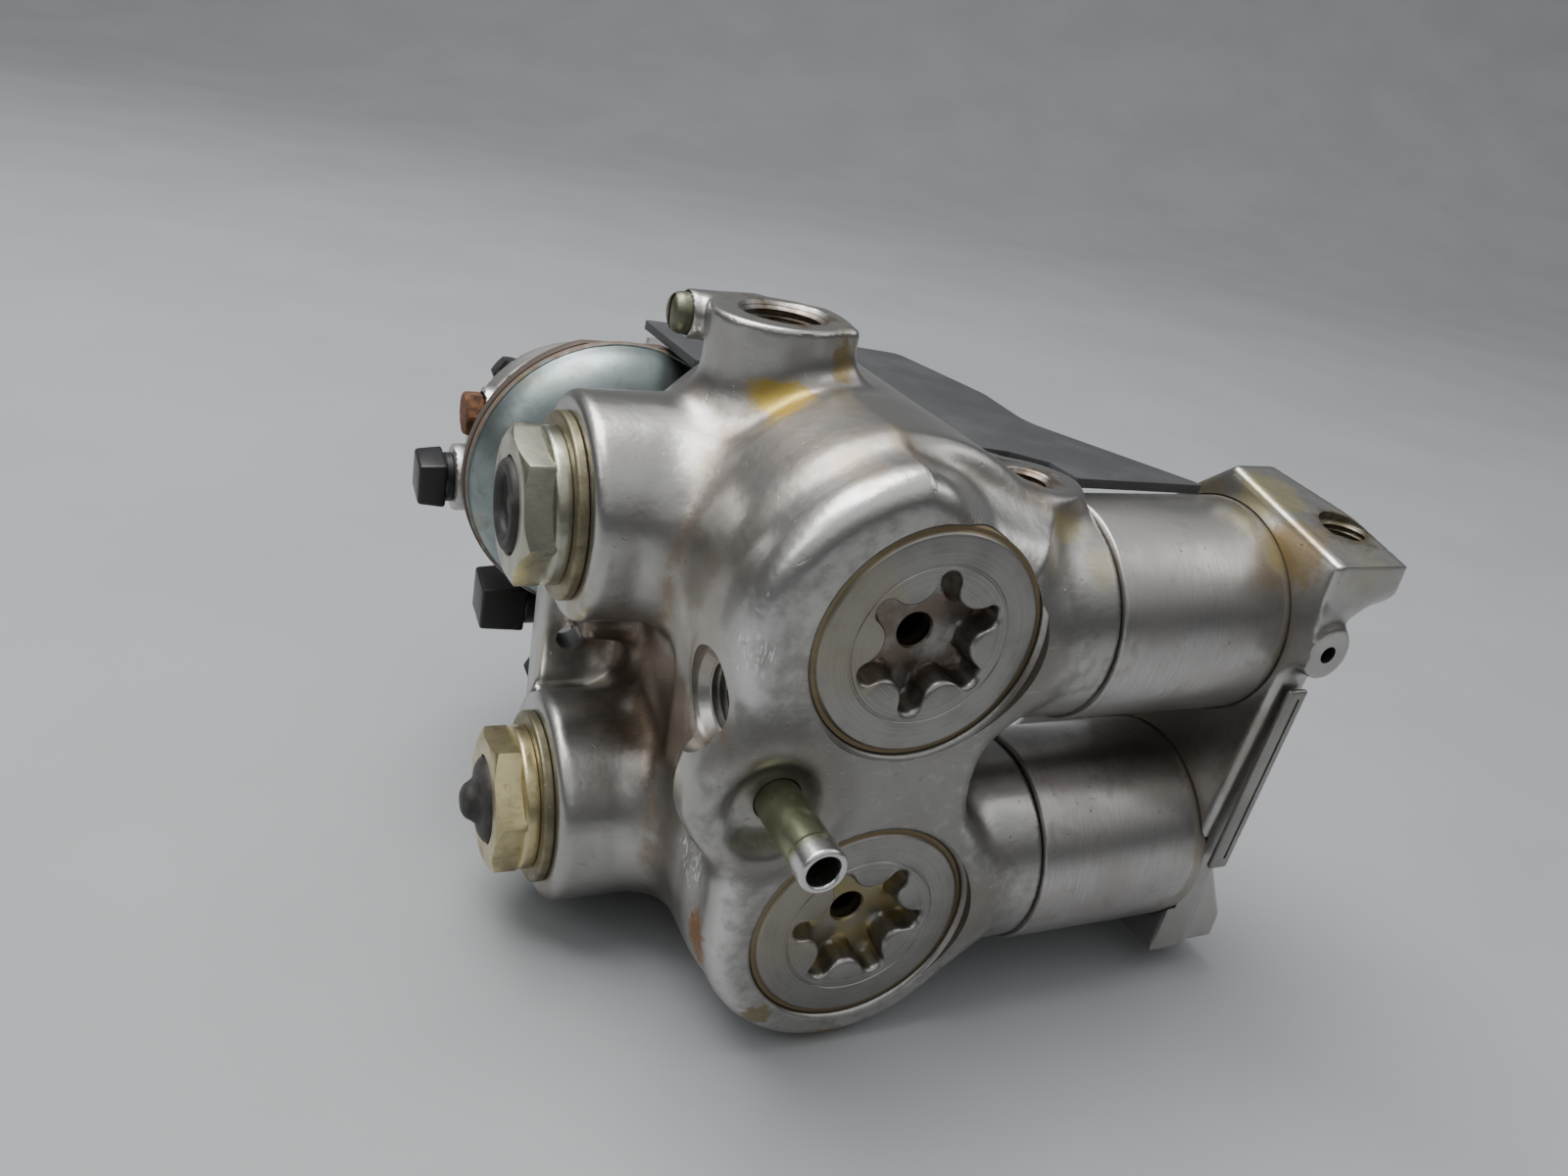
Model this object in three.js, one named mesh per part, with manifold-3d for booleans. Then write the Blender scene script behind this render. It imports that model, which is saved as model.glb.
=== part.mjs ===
// Hydraulic gear pump unit: a cast valve body with two star plugs, two piston tubes,
// an end block, and a gear pump section behind it. Millimetres, +Z up.
//
// Pump coordinates: the origin is the centre of the upper star plug's outer face.
// +X runs along the two tubes, +Y runs back into the unit, +Z is up.

import * as THREE from 'three';
import { mergeVertices } from 'three/addons/utils/BufferGeometryUtils.js';
import Module from 'manifold-3d';

const wasm = await Module();
wasm.setup();

// ---------------------------------------------------------------- driving dimensions

const GAP = 0.3; // between pieces that touch
const BASE_Z = -94; // what the unit stands on
const TUBE_ROUND = 32; // facets on the tubes and the gear case
const ROUND = 24; // facets on a large round
const SMALL_ROUND = 12; // facets on a small round

const PLUG_PITCH = 63; // between the two star plug axes
const UPPER_PLUG_Z = 0;
const LOWER_PLUG_Z = -PLUG_PITCH;
const PLUG_BORE_R = 23;
const PLUG_R = 22.6;
const PLUG_HEAD_DEPTH = 12;
const PLUG_CHAMBER_R = 19;
const PLUG_CHAMBER_END = 34;
const STAR_DEPTH = 6;
const STAR_TIP = { radius: 2.4, reach: 11.7 }; // round ends of the star's lobes
const STAR_FIN = { radius: 4.21, reach: 13.21 }; // round fins between them, tangent to the ends
const STAR_TURNS = { upper: THREE.MathUtils.degToRad(25), lower: THREE.MathUtils.degToRad(-3) };

const TUBE_Y = 22;
const UPPER_TUBE_Z = -4.5;
const LOWER_TUBE_Z = -62;
const TUBE_R = 23.3;
const TUBE_BORE_R = 20.5;
const TUBE_START_X = 42.4;
const TUBE_BOSS_R = 22.4;
const TUBE_BOSS_END = 42;
const SPIGOT_R = 20.1;
const SPIGOT_LENGTH = 5;

const ADAPTER_Y = 56;
const UPPER_ADAPTER_Z = 2.5;
const LOWER_ADAPTER_Z = -65.5;
const ADAPTER_BOSS_R = 22.7;
const ADAPTER_BOSS_X = -52;
const ADAPTER_HEX_R = 15.6; // corner radius of a 27 mm hexagon
const ADAPTER_THREAD_R = 11.6;
const ADAPTER_BORE_R = 12;

const PORT_X = -13;
const PORT_TOP_Z = 43.6;
const PORT_BOSS_R = 14.5;
const PORT_BORE_R = 8.6;
const CHECK_SEAT_Z = 12;
const CHECK_BALL_R = 6;

const NIPPLE_BOSS = [-26, -30.5]; // x and z of the boss that carries the drain nipple
const NIPPLE_BOSS_R = 14.5;
const BLEED = [69, 38.6]; // y and z of the bleed plug on the outlet port's boss
const GAUGE = [30.5, 26.5]; // x and y of the gauge port
const GAUGE_TOP_Z = 22;
const SIDE_PORT = [12.5, -15.5]; // y and z of the port in the left wall
const SIDE_PORT_X = -34;

const FLANGE_FRONT_Y = 76;
const FLANGE_BACK_Y = 84;
const BOLT_TIP_Y = 77.5; // front end of the bolts that hold the pump section on

const END_X = 84; // near face of the end block
const WEB_THICKNESS = 9;
const HEAD_THICKNESS = 19.6;

const DOME_Z = -10.5; // axis of the dome cover
const DOME_R = 33.4;
const CASE_X = -29; // axis of the round gear case, which is behind the dome and a little lower
const CASE_Z = -14.5;
const CASE_R = 27.5;
const CASE_FRONT_Y = 106.3;
const CASE_BACK_Y = 130;
const COVER_BACK_Y = 138;

const GEAR_MODULE = 1.8;
const GEAR_TEETH = 12;
const GEAR_PRESSURE = THREE.MathUtils.degToRad(25);
const GEAR_BACKLASH = 0.15;
const GEAR_FRONT_Y = 112.5;
const GEAR_BACK_Y = 126;
const CHAMBER_FRONT_Y = 112;
const SHAFT_R = 6;
const SHAFT_END_Y = 158;
const HEAD_TURN = THREE.MathUtils.degToRad(51.4); // how far screw heads are turned

const BRACKET_Z = 22.5; // underside of the bracket at its left end, BRACKET_LEFT_X
const BRACKET_LEFT_X = -20;
const BRACKET_THICKNESS = 2;
const BRACKET_TILT = 2.58; // degrees down to the right

const PITCH_R = GEAR_MODULE * GEAR_TEETH / 2;
const TIP_R = PITCH_R + GEAR_MODULE - 0.1;
const CHAMBER_R = TIP_R + 0.4;
const DRIVE_Z = CASE_Z - PITCH_R;
const DRIVEN_Z = CASE_Z + PITCH_R;

// ---------------------------------------------------------------- solids from geometry

// Closed solid from a three.js geometry, whichever way its faces were wound.
function solid(geometry) {
  const bare = geometry.index ? geometry.toNonIndexed() : geometry.clone();
  bare.deleteAttribute('normal');
  bare.deleteAttribute('uv');
  const merged = mergeVertices(bare, 1e-3);
  const points = merged.attributes.position.array;
  const corners = [];
  let volume = 0;
  for (let i = 0; i < merged.index.count; i += 3) {
    const [a, b, c] = [0, 1, 2].map((k) => merged.index.getX(i + k));
    if (a === b || b === c || c === a) continue;
    corners.push(a, b, c);
    const [p, q, r] = [a, b, c].map((k) => new THREE.Vector3().fromArray(points, 3 * k));
    volume += p.dot(q.cross(r));
  }
  if (volume < 0) corners.reverse();
  const mesh = new wasm.Mesh({
    numProp: 3,
    vertProperties: new Float32Array(points),
    triVerts: new Uint32Array(corners),
  });
  return new wasm.Manifold(mesh);
}

const toX = new THREE.Matrix4().makeBasis(
  new THREE.Vector3(0, 1, 0), new THREE.Vector3(0, 0, 1), new THREE.Vector3(1, 0, 0));
const toY = new THREE.Matrix4().makeBasis(
  new THREE.Vector3(1, 0, 0), new THREE.Vector3(0, 0, 1), new THREE.Vector3(0, -1, 0));
const toZ = new THREE.Matrix4();

// A geometry built along its own +Z is laid along the axis, starting at `from`. `at` gives the
// two coordinates across the axis: (y, z) for x, (x, z) for y and (x, y) for z.
function lay(geometry, axis, length, from, at) {
  if (axis === 'x') geometry.applyMatrix4(toX).translate(from, at[0], at[1]);
  if (axis === 'y') geometry.applyMatrix4(toY).translate(at[0], from + length, at[1]);
  if (axis === 'z') geometry.applyMatrix4(toZ).translate(at[0], at[1], from);
  return geometry;
}

// Round bar, or a cone where the two radii differ.
function rod(axis, radius, from, to, at, facets = ROUND, endRadius = radius) {
  const length = to - from;
  const [low, high] = axis === 'y' ? [endRadius, radius] : [radius, endRadius];
  const bar = new THREE.CylinderGeometry(high, low, length, facets);
  bar.rotateX(Math.PI / 2).translate(0, 0, length / 2);
  return solid(lay(bar, axis, length, from, at));
}

// Turned piece: `profile` lists [radius, distance along the axis] round a closed section.
function turned(axis, profile, at, facets = ROUND) {
  const points = profile.map(([r, d]) => new THREE.Vector2(r, d));
  const geometry = new THREE.LatheGeometry([...points, points[0]], facets);
  geometry.rotateX(Math.PI / 2);
  if (axis === 'x') geometry.applyMatrix4(toX).translate(0, at[0], at[1]);
  if (axis === 'y') geometry.rotateX(-Math.PI / 2).translate(at[0], 0, at[1]);
  if (axis === 'z') geometry.translate(at[0], at[1], 0);
  return solid(geometry);
}

function block(x0, x1, y0, y1, z0, z1) {
  const geometry = new THREE.BoxGeometry(x1 - x0, y1 - y0, z1 - z0);
  return solid(geometry.translate((x0 + x1) / 2, (y0 + y1) / 2, (z0 + z1) / 2));
}

// Flat outline pushed along an axis, with an optional rounded edge.
function prism(axis, outline, from, to, edge = 0) {
  const shape = outline instanceof THREE.Shape
    ? outline
    : new THREE.Shape(outline.map(([u, v]) => new THREE.Vector2(u, v)));
  const geometry = new THREE.ExtrudeGeometry(shape, {
    depth: to - from - 2 * edge,
    bevelEnabled: edge > 0,
    bevelThickness: edge,
    bevelSize: edge,
    bevelOffset: -edge,
    bevelSegments: 1,
    curveSegments: 7,
  });
  geometry.translate(0, 0, edge);
  return solid(lay(geometry, axis, to - from, from, [0, 0]));
}

// Corners of a regular polygon in the plane across an axis.
function polygon(sides, radius, at, turn = 0) {
  const corners = [];
  for (let i = 0; i < sides; i += 1) {
    const angle = turn + i * 2 * Math.PI / sides;
    corners.push([at[0] + radius * Math.cos(angle), at[1] + radius * Math.sin(angle)]);
  }
  return corners;
}

function ring(axis, outer, inner, from, to, at, facets = ROUND) {
  const profile = [[inner, from], [outer, from], [outer, to], [inner, to]];
  return turned(axis, profile, at, facets);
}

function torus(axis, radius, thickness, middle, at, facets = ROUND) {
  const section = [];
  for (let i = 0; i < 6; i += 1) {
    const angle = i * Math.PI / 3;
    section.push([radius + thickness * Math.cos(angle), middle + thickness * Math.sin(angle)]);
  }
  return turned(axis, section, at, facets);
}

function union(pieces) {
  return pieces.reduce((whole, piece) => whole.add(piece));
}

// ---------------------------------------------------------------- materials

function metal(color, roughness, metalness = 1) {
  return new THREE.MeshStandardMaterial({ color, roughness, metalness });
}

const materials = {
  casting: metal(0xa9a59d, 0.42),
  tubeSteel: metal(0xb2aca6, 0.33),
  plugSteel: metal(0xa6a39c, 0.35),
  oliveZinc: metal(0x8d8a68, 0.4),
  brass: metal(0xb8a066, 0.35),
  blueZinc: metal(0x7d898a, 0.35),
  blackSteel: metal(0x1d1d20, 0.45, 0.6),
  darkPlate: metal(0x3e3f41, 0.6, 0.4),
  gearSteel: metal(0x8f9092, 0.3),
  bronze: metal(0x9a7442, 0.4),
  rubber: metal(0x161616, 0.75, 0),
  rust: metal(0x4a2c1e, 0.85, 0.3),
};

const pump = new THREE.Group();

function add(name, shape, material) {
  const { vertProperties, triVerts } = shape.getMesh();
  const geometry = new THREE.BufferGeometry();
  geometry.setAttribute('position', new THREE.BufferAttribute(vertProperties, 3));
  geometry.setIndex(new THREE.BufferAttribute(triVerts, 1));
  geometry.computeVertexNormals();
  const mesh = new THREE.Mesh(geometry, material);
  mesh.name = name;
  pump.add(mesh);
}

// ---------------------------------------------------------------- valve body

// Outline of the front face, seen from the front: two lobes with a waist on the right.
function frontOutline() {
  const shape = new THREE.Shape();
  const ridge = new THREE.Vector2(-5, 31.2);
  shape.moveTo(ridge.x, ridge.y);
  shape.absarc(-1, -2, 34.5, THREE.MathUtils.degToRad(99), THREE.MathUtils.degToRad(180), false);
  shape.bezierCurveTo(-34, -12, -31, -24, -31, LOWER_PLUG_Z);
  const lowerStart = THREE.MathUtils.degToRad(180);
  const lowerEnd = THREE.MathUtils.degToRad(360);
  shape.absarc(0, LOWER_PLUG_Z, 31, lowerStart, lowerEnd, false);
  shape.bezierCurveTo(31, -52, 19.5, -46, 19.5, -32);
  shape.bezierCurveTo(19.5, -18, 31, -14, 31, 0);
  shape.lineTo(27, 19);
  shape.lineTo(ridge.x, ridge.y);
  return shape;
}

function castMasses() {
  const upperTube = [TUBE_Y, UPPER_TUBE_Z];
  const lowerTube = [TUBE_Y, LOWER_TUBE_Z];
  return union([
    prism('y', frontOutline(), 0, 36, 3.5),
    turned('y', [
      [0, 0], [NIPPLE_BOSS_R - 3, 0], [NIPPLE_BOSS_R, 3], [NIPPLE_BOSS_R, 9],
      [NIPPLE_BOSS_R - 6, 16], [0, 16],
    ], NIPPLE_BOSS),
    rod('y', 33, 20, FLANGE_FRONT_Y + 4, [0, UPPER_PLUG_Z]),
    rod('y', 29, 20, FLANGE_FRONT_Y + 4, [0, LOWER_PLUG_Z]),
    block(-30, 22, 20, FLANGE_FRONT_Y + 4, -66, 0),
    rod('x', TUBE_BOSS_R, 0, TUBE_BOSS_END, upperTube),
    rod('x', TUBE_BOSS_R, 0, TUBE_BOSS_END, lowerTube),
    rod('x', SPIGOT_R, 0, TUBE_BOSS_END + SPIGOT_LENGTH, upperTube),
    rod('x', SPIGOT_R, 0, TUBE_BOSS_END + SPIGOT_LENGTH, lowerTube),
    rod('x', ADAPTER_BOSS_R, ADAPTER_BOSS_X, 0, [ADAPTER_Y, UPPER_ADAPTER_Z]),
    rod('x', ADAPTER_BOSS_R, ADAPTER_BOSS_X, 0, [ADAPTER_Y, LOWER_ADAPTER_Z]),
    rod('z', PORT_BOSS_R, 0, PORT_TOP_Z, [PORT_X, ADAPTER_Y]),
    block(PORT_X, 1, 47, 62, 0, PORT_TOP_Z),
    rod('x', 5, -28, PORT_X, BLEED, SMALL_ROUND),
    rod('z', 11.5, 0, GAUGE_TOP_Z, GAUGE),
    prism('y', [[-49, -84], [44, -84], [44, 10], [20, 20], [-20, 14], [-49, -22]],
      FLANGE_FRONT_Y, FLANGE_BACK_Y, 1.5),
  ]);
}

function bodyCuts() {
  const cuts = [];
  for (const z of [UPPER_PLUG_Z, LOWER_PLUG_Z]) {
    cuts.push(rod('y', PLUG_BORE_R, -1, PLUG_HEAD_DEPTH + 2, [0, z]));
    cuts.push(rod('y', PLUG_CHAMBER_R, PLUG_HEAD_DEPTH, PLUG_CHAMBER_END, [0, z]));
  }
  for (const z of [UPPER_TUBE_Z, LOWER_TUBE_Z]) {
    cuts.push(rod('x', 12, 10, TUBE_BOSS_END + SPIGOT_LENGTH + 1, [TUBE_Y, z], SMALL_ROUND));
  }
  for (const z of [UPPER_ADAPTER_Z, LOWER_ADAPTER_Z]) {
    cuts.push(rod('x', ADAPTER_BORE_R, ADAPTER_BOSS_X - 1, -22, [ADAPTER_Y, z]));
  }
  // The upper plug's chamber runs back under the top port's check valve.
  cuts.push(rod('y', 8, PLUG_CHAMBER_END - 1, 62, [-8, -4], SMALL_ROUND));
  cuts.push(rod('z', 4, 0, CHECK_SEAT_Z + 1, [PORT_X, ADAPTER_Y], SMALL_ROUND));
  cuts.push(rod('z', PORT_BORE_R, CHECK_SEAT_Z, PORT_TOP_Z + 1, [PORT_X, ADAPTER_Y]));
  cuts.push(rod('z', PORT_BORE_R, PORT_TOP_Z - 2, PORT_TOP_Z + 0.01, [PORT_X, ADAPTER_Y],
    ROUND, PORT_BORE_R + 2));
  // Small gauge port on top, side port between the bosses, and the bleed plug's bore.
  cuts.push(rod('z', 5.2, 11, GAUGE_TOP_Z + 1, GAUGE, SMALL_ROUND));
  cuts.push(rod('z', 5.2, GAUGE_TOP_Z - 1.2, GAUGE_TOP_Z + 0.01, GAUGE, SMALL_ROUND, 6.4));
  cuts.push(rod('x', 6.6, SIDE_PORT_X - 1, -24, SIDE_PORT, SMALL_ROUND));
  cuts.push(rod('x', 8.8, SIDE_PORT_X - 20, SIDE_PORT_X, SIDE_PORT, SMALL_ROUND));
  cuts.push(rod('x', 4.5, -29, -22, BLEED, SMALL_ROUND));
  // Pocket and bore of the drain nipple.
  cuts.push(rod('y', 8.5, -1, 3.5, [-25, -31.4], SMALL_ROUND));
  cuts.push(rod('y', 4.9, 3, 16, [-22.5, -32], SMALL_ROUND));
  // Open bolt hole in the flange, and the through bolts' holes.
  cuts.push(rod('y', 3.2, FLANGE_FRONT_Y - 1, FLANGE_BACK_Y + 1, [-42, -38], SMALL_ROUND));
  for (const place of throughBoltPlaces) {
    cuts.push(rod('y', 3.3, BOLT_TIP_Y - 1, FLANGE_BACK_Y + 1, place, SMALL_ROUND));
  }
  return cuts;
}

const throughBoltPlaces = [[-31, -80], [37, -80], [37, 5]];

function valveBody() {
  const cast = bodyCuts().reduce((left, cut) => left.subtract(cut), castMasses());
  // A narrow flat under the lower lobe, where the unit rests.
  return cast.subtract(block(-60, 60, -20, 100, BASE_Z - 20, BASE_Z));
}

// ---------------------------------------------------------------- star plugs

// Radius of the star socket at an angle from the middle of a lobe, up to half a lobe's share.
function starRadius(angle) {
  const tipEdge = 0.204; // where the lobe's round end meets the fin
  const fromFin = Math.PI / 6 - angle;
  return angle < tipEdge
    ? STAR_TIP.reach * Math.cos(angle)
      + Math.sqrt(Math.max(0, STAR_TIP.radius ** 2 - (STAR_TIP.reach * Math.sin(angle)) ** 2))
    : STAR_FIN.reach * Math.cos(fromFin)
      - Math.sqrt(Math.max(0, STAR_FIN.radius ** 2 - (STAR_FIN.reach * Math.sin(fromFin)) ** 2));
}

function starOutline(z, turn) {
  const corners = [];
  for (let lobe = 0; lobe < 6; lobe += 1) {
    for (const part of [-0.88, -0.7, -0.52, -0.38, -0.22, 0, 0.22, 0.38, 0.52, 0.7, 0.88]) {
      const radius = starRadius(Math.abs(part) * Math.PI / 6);
      const angle = turn + lobe * Math.PI / 3 + part * Math.PI / 6;
      corners.push([radius * Math.cos(angle), z + radius * Math.sin(angle)]);
    }
  }
  return corners;
}

function starPlug(z, turn) {
  const at = [0, z];
  const turnedPlug = turned('y', [
    [0, GAP], [PLUG_R - 1, GAP], [PLUG_R, 1.3], [PLUG_R, PLUG_HEAD_DEPTH],
    [16.5, PLUG_HEAD_DEPTH], [16.5, 15.6], [18.5, 15.6], [18.5, 19], [0, 19],
  ], at);
  return turnedPlug
    .subtract(prism('y', starOutline(z, turn), -1, STAR_DEPTH))
    .subtract(rod('y', 3.4, STAR_DEPTH - 1, 14, at, SMALL_ROUND));
}

function buildPlugs() {
  for (const [side, z] of [['upper', UPPER_PLUG_Z], ['lower', LOWER_PLUG_Z]]) {
    add(`${side}_star_plug`, starPlug(z, STAR_TURNS[side]), materials.plugSteel);
    add(`${side}_plug_o_ring`, torus('y', 17.75, 0.85, 13.8, [0, z]), materials.rubber);
  }
}

// ---------------------------------------------------------------- tubes and floating pistons

function tube(z) {
  const end = END_X + 1.7;
  return turned('x', [
    [TUBE_BORE_R, TUBE_START_X], [TUBE_R - 0.8, TUBE_START_X], [TUBE_R, TUBE_START_X + 0.8],
    [TUBE_R, end], [TUBE_BORE_R, end],
  ], [TUBE_Y, z], TUBE_ROUND);
}

function piston(z) {
  return turned('x', [
    [0, 52], [12, 52], [12, 50], [19, 50], [19.9, 51], [19.9, 55], [17.2, 55],
    [17.2, 59], [19.9, 59], [19.9, 63], [19, 64], [9, 64], [9, 58], [0, 58],
  ], [TUBE_Y, z]);
}

function buildTubes() {
  for (const [side, z] of [['upper', UPPER_TUBE_Z], ['lower', LOWER_TUBE_Z]]) {
    const at = [TUBE_Y, z];
    add(`${side}_tube`, tube(z), materials.tubeSteel);
    add(`${side}_piston`, piston(z), materials.gearSteel);
    add(`${side}_piston_seal`, ring('x', 20.1, 17.5, 55.4, 58.6, at), materials.rubber);
  }
}

// ---------------------------------------------------------------- adapters on the left bosses

function hexAdapter(z, turn) {
  const at = [ADAPTER_Y, z];
  const hex = prism('x', polygon(6, ADAPTER_HEX_R, at, turn), -63, -57);
  const chamfer = turned('x', [
    [0, -63], [13.4, -63], [ADAPTER_HEX_R + 0.4, -61.6], [ADAPTER_HEX_R + 0.4, -56],
    [0, -56],
  ], at);
  const collar = rod('x', 15, -57.5, -54.3, at);
  const shank = rod('x', ADAPTER_THREAD_R, -55, -30, at);
  return hex.intersect(chamfer)
    .add(collar)
    .add(shank)
    .subtract(rod('x', 9.5, -64, -60, at))
    .subtract(rod('x', 5, -61, -29, at, SMALL_ROUND));
}

function buildAdapters() {
  const sides = [
    ['upper', UPPER_ADAPTER_Z, Math.PI - 0.862, materials.oliveZinc],
    ['lower', LOWER_ADAPTER_Z, Math.PI - 0.192, materials.brass],
  ];
  for (const [side, z, turn, material] of sides) {
    const at = [ADAPTER_Y, z];
    add(`${side}_hex_adapter`, hexAdapter(z, turn), material);
    add(`${side}_sealing_washer`, ring('x', 18.4, 12, -54, -52.3, at), materials.bronze);
  }
  add('upper_dust_cap', turned('x', [
    [0, -64.6], [5, -64.6], [8.4, -63.4], [9.1, -62.6], [9.1, -60.4], [0, -60.4],
  ], [ADAPTER_Y, UPPER_ADAPTER_Z], SMALL_ROUND), materials.rubber);
  add('lower_dust_cap', turned('x', [
    [0, -68], [3.4, -67.6], [4.6, -65.6], [8.2, -63.8], [9.1, -62.8], [9.1, -60.4],
    [0, -60.4],
  ], [ADAPTER_Y, LOWER_ADAPTER_Z], SMALL_ROUND), materials.rubber);
}

// ---------------------------------------------------------------- nipple, bleed plug, check valve

function buildFittings() {
  add('drain_nipple', turned('y', [
    [3.1, -18], [4.1, -18], [4.5, -17.4], [4.5, 5.3], [4.55, 5.6], [4.55, 12], [3.1, 12],
  ], [-22.5, -32], SMALL_ROUND), materials.oliveZinc);
  const bleedPlug = rod('x', 4.2, -31.5, -22.3, BLEED, SMALL_ROUND);
  const slot = block(-33, -30.5, BLEED[0] - 0.7, BLEED[0] + 0.7, BLEED[1] - 5, BLEED[1] + 5);
  add('bleed_plug', bleedPlug.subtract(slot), materials.oliveZinc);

  const at = [PORT_X, ADAPTER_Y];
  const ball = new THREE.SphereGeometry(CHECK_BALL_R, 16, 10);
  ball.translate(PORT_X, ADAPTER_Y, CHECK_SEAT_Z + 4.8);
  add('outlet_check_ball', solid(ball), materials.gearSteel);
  add('outlet_check_retainer', ring('z', 8.2, 4, 34.1, 36.6, at, SMALL_ROUND), materials.brass);
  add('outlet_check_spring', coilSpring(4.6, 0.6, 23.2, 33.8, 5), materials.gearSteel);
}

class Helix extends THREE.Curve {
  constructor(radius, from, to, turns) {
    super();
    Object.assign(this, { radius, from, to, turns });
  }

  getPoint(t, target = new THREE.Vector3()) {
    const angle = 2 * Math.PI * this.turns * t;
    const z = THREE.MathUtils.lerp(this.from, this.to, t);
    return target.set(
      PORT_X + this.radius * Math.cos(angle), ADAPTER_Y + this.radius * Math.sin(angle), z);
  }
}

function coilSpring(radius, wire, from, to, turns) {
  const section = new THREE.Shape();
  for (let i = 0; i < 5; i += 1) {
    const angle = i * 2 * Math.PI / 5;
    const x = wire * Math.cos(angle);
    const y = wire * Math.sin(angle);
    if (i === 0) section.moveTo(x, y);
    else section.lineTo(x, y);
  }
  const path = new Helix(radius, from + wire, to - wire, turns);
  return solid(new THREE.ExtrudeGeometry(section, { steps: 12 * turns, extrudePath: path }));
}

// ---------------------------------------------------------------- end block

const headOutline = [[-7, 17.5], [-7, 4], [46, -6], [46, 8], [36, 18], [27, 25.5]];
const webOutline = [
  [-4.5, 6], [-3, -12], [0, -50], [3, -87], [68, -87], [74, -72], [62, -52], [48, -42],
  [48, 4], [40, 10],
];
const footOutline = [[84, -87], [103.6, -87], [103.6, -80], [93, -60], [84, -60]];

function endBlock() {
  const webEnd = END_X + WEB_THICKNESS;
  const ear = [END_X + 5.2, -1.6];
  let part = union([
    prism('x', webOutline, END_X, webEnd, 1),
    prism('x', headOutline, END_X, END_X + HEAD_THICKNESS, 1),
    rod('y', 5.2, -8, 4, ear, 20),
    prism('y', footOutline, 3, 38),
  ]);
  part = part.subtract(rod('y', 1.7, -9, 2, ear, SMALL_ROUND));
  part = part.subtract(rod('z', 5, 6, 26, [END_X + 12.8, 5.5], SMALL_ROUND));
  for (const z of [UPPER_TUBE_Z, LOWER_TUBE_Z]) {
    part = part.subtract(rod('x', TUBE_R + 0.4, END_X - 1, END_X + 2, [TUBE_Y, z], TUBE_ROUND));
    part = part.add(rod('x', SPIGOT_R, END_X - 4, END_X + 3, [TUBE_Y, z]));
    part = part.subtract(rod('x', 6, END_X - 5, END_X + 5, [TUBE_Y, z], SMALL_ROUND));
  }
  return part;
}

function buildEndBlock() {
  add('end_block', endBlock(), materials.casting);
  const strip = [[-3.6, -12], [-5, -12], [-2.4, -60], [-0.9, -60]];
  add('end_block_strip', prism('x', strip, END_X + 3, END_X + 8, 0), materials.casting);
}

// ---------------------------------------------------------------- gear pump section

const coverBoltPlaces = [45, 135, 225, 315].map((degrees) => {
  const angle = THREE.MathUtils.degToRad(degrees);
  return [CASE_X + 24 * Math.cos(angle), CASE_Z + 24 * Math.sin(angle)];
});

// Plugs screwed into the left side of the housing: two square-headed and a small fitting.
const sidePlugs = [
  {
    name: 'relief_plug', at: [119, -17], seat: -62.6, sides: 4, headR: 8, height: 8,
    shankR: 4.5, bossR: 8, material: materials.blackSteel,
  },
  {
    name: 'housing_plug', at: [115, -47.6], seat: -39, sides: 4, headR: 9.2, height: 16,
    shankR: 5, bossR: 9, material: materials.blackSteel,
  },
  {
    name: 'return_plug', at: [119, -1], seat: -56.5, sides: 6, headR: 5.5, height: 4,
    shankR: 3.4, bossR: 6.5, material: materials.rust,
  },
];

function pumpHousing() {
  const blockFront = FLANGE_BACK_Y + GAP;
  let housing = union([
    rod('y', CASE_R, CASE_FRONT_Y, CASE_BACK_Y, [CASE_X, CASE_Z], TUBE_ROUND),
    prism('y', [[-37.5, BASE_Z], [40, BASE_Z], [46, -84], [46, 10], [38, 18], [-16, 18],
      [-16, -42], [-37.5, -42]], blockFront, CASE_BACK_Y, 2),
    ...sidePlugs.map(({ at, seat, bossR }) => rod('x', bossR, seat, CASE_X, at)),
  ]);
  const clearance = rod('y', 34.6, blockFront - 1, CASE_FRONT_Y, [CASE_X, DOME_Z], TUBE_ROUND);
  housing = housing.subtract(clearance);
  for (const z of [DRIVE_Z, DRIVEN_Z]) {
    const at = [CASE_X, z];
    housing = housing.subtract(rod('y', CHAMBER_R, CHAMBER_FRONT_Y, CASE_BACK_Y + 1, at));
    housing = housing.subtract(rod('y', 8.3, CASE_FRONT_Y - 1, CHAMBER_FRONT_Y + 1, at, SMALL_ROUND));
  }
  for (const at of coverBoltPlaces) {
    housing = housing.subtract(rod('y', 3, 118, CASE_BACK_Y + 1, at, SMALL_ROUND));
  }
  for (const place of throughBoltPlaces) {
    housing = housing.subtract(
      rod('y', 3.3, blockFront - 1, CASE_BACK_Y + 1, place, SMALL_ROUND));
  }
  for (const [x, y] of bracketScrewPlaces) {
    housing = housing.subtract(rod('z', 2.9, 7, 19, [x, y], SMALL_ROUND));
  }
  for (const { at, seat, shankR } of sidePlugs) {
    housing = housing.subtract(rod('x', shankR + 0.4, seat - 1, seat + 9, at, SMALL_ROUND));
  }
  return housing.subtract(rod('x', 8.5, 30, 47, [108, -45], SMALL_ROUND));
}

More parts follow.
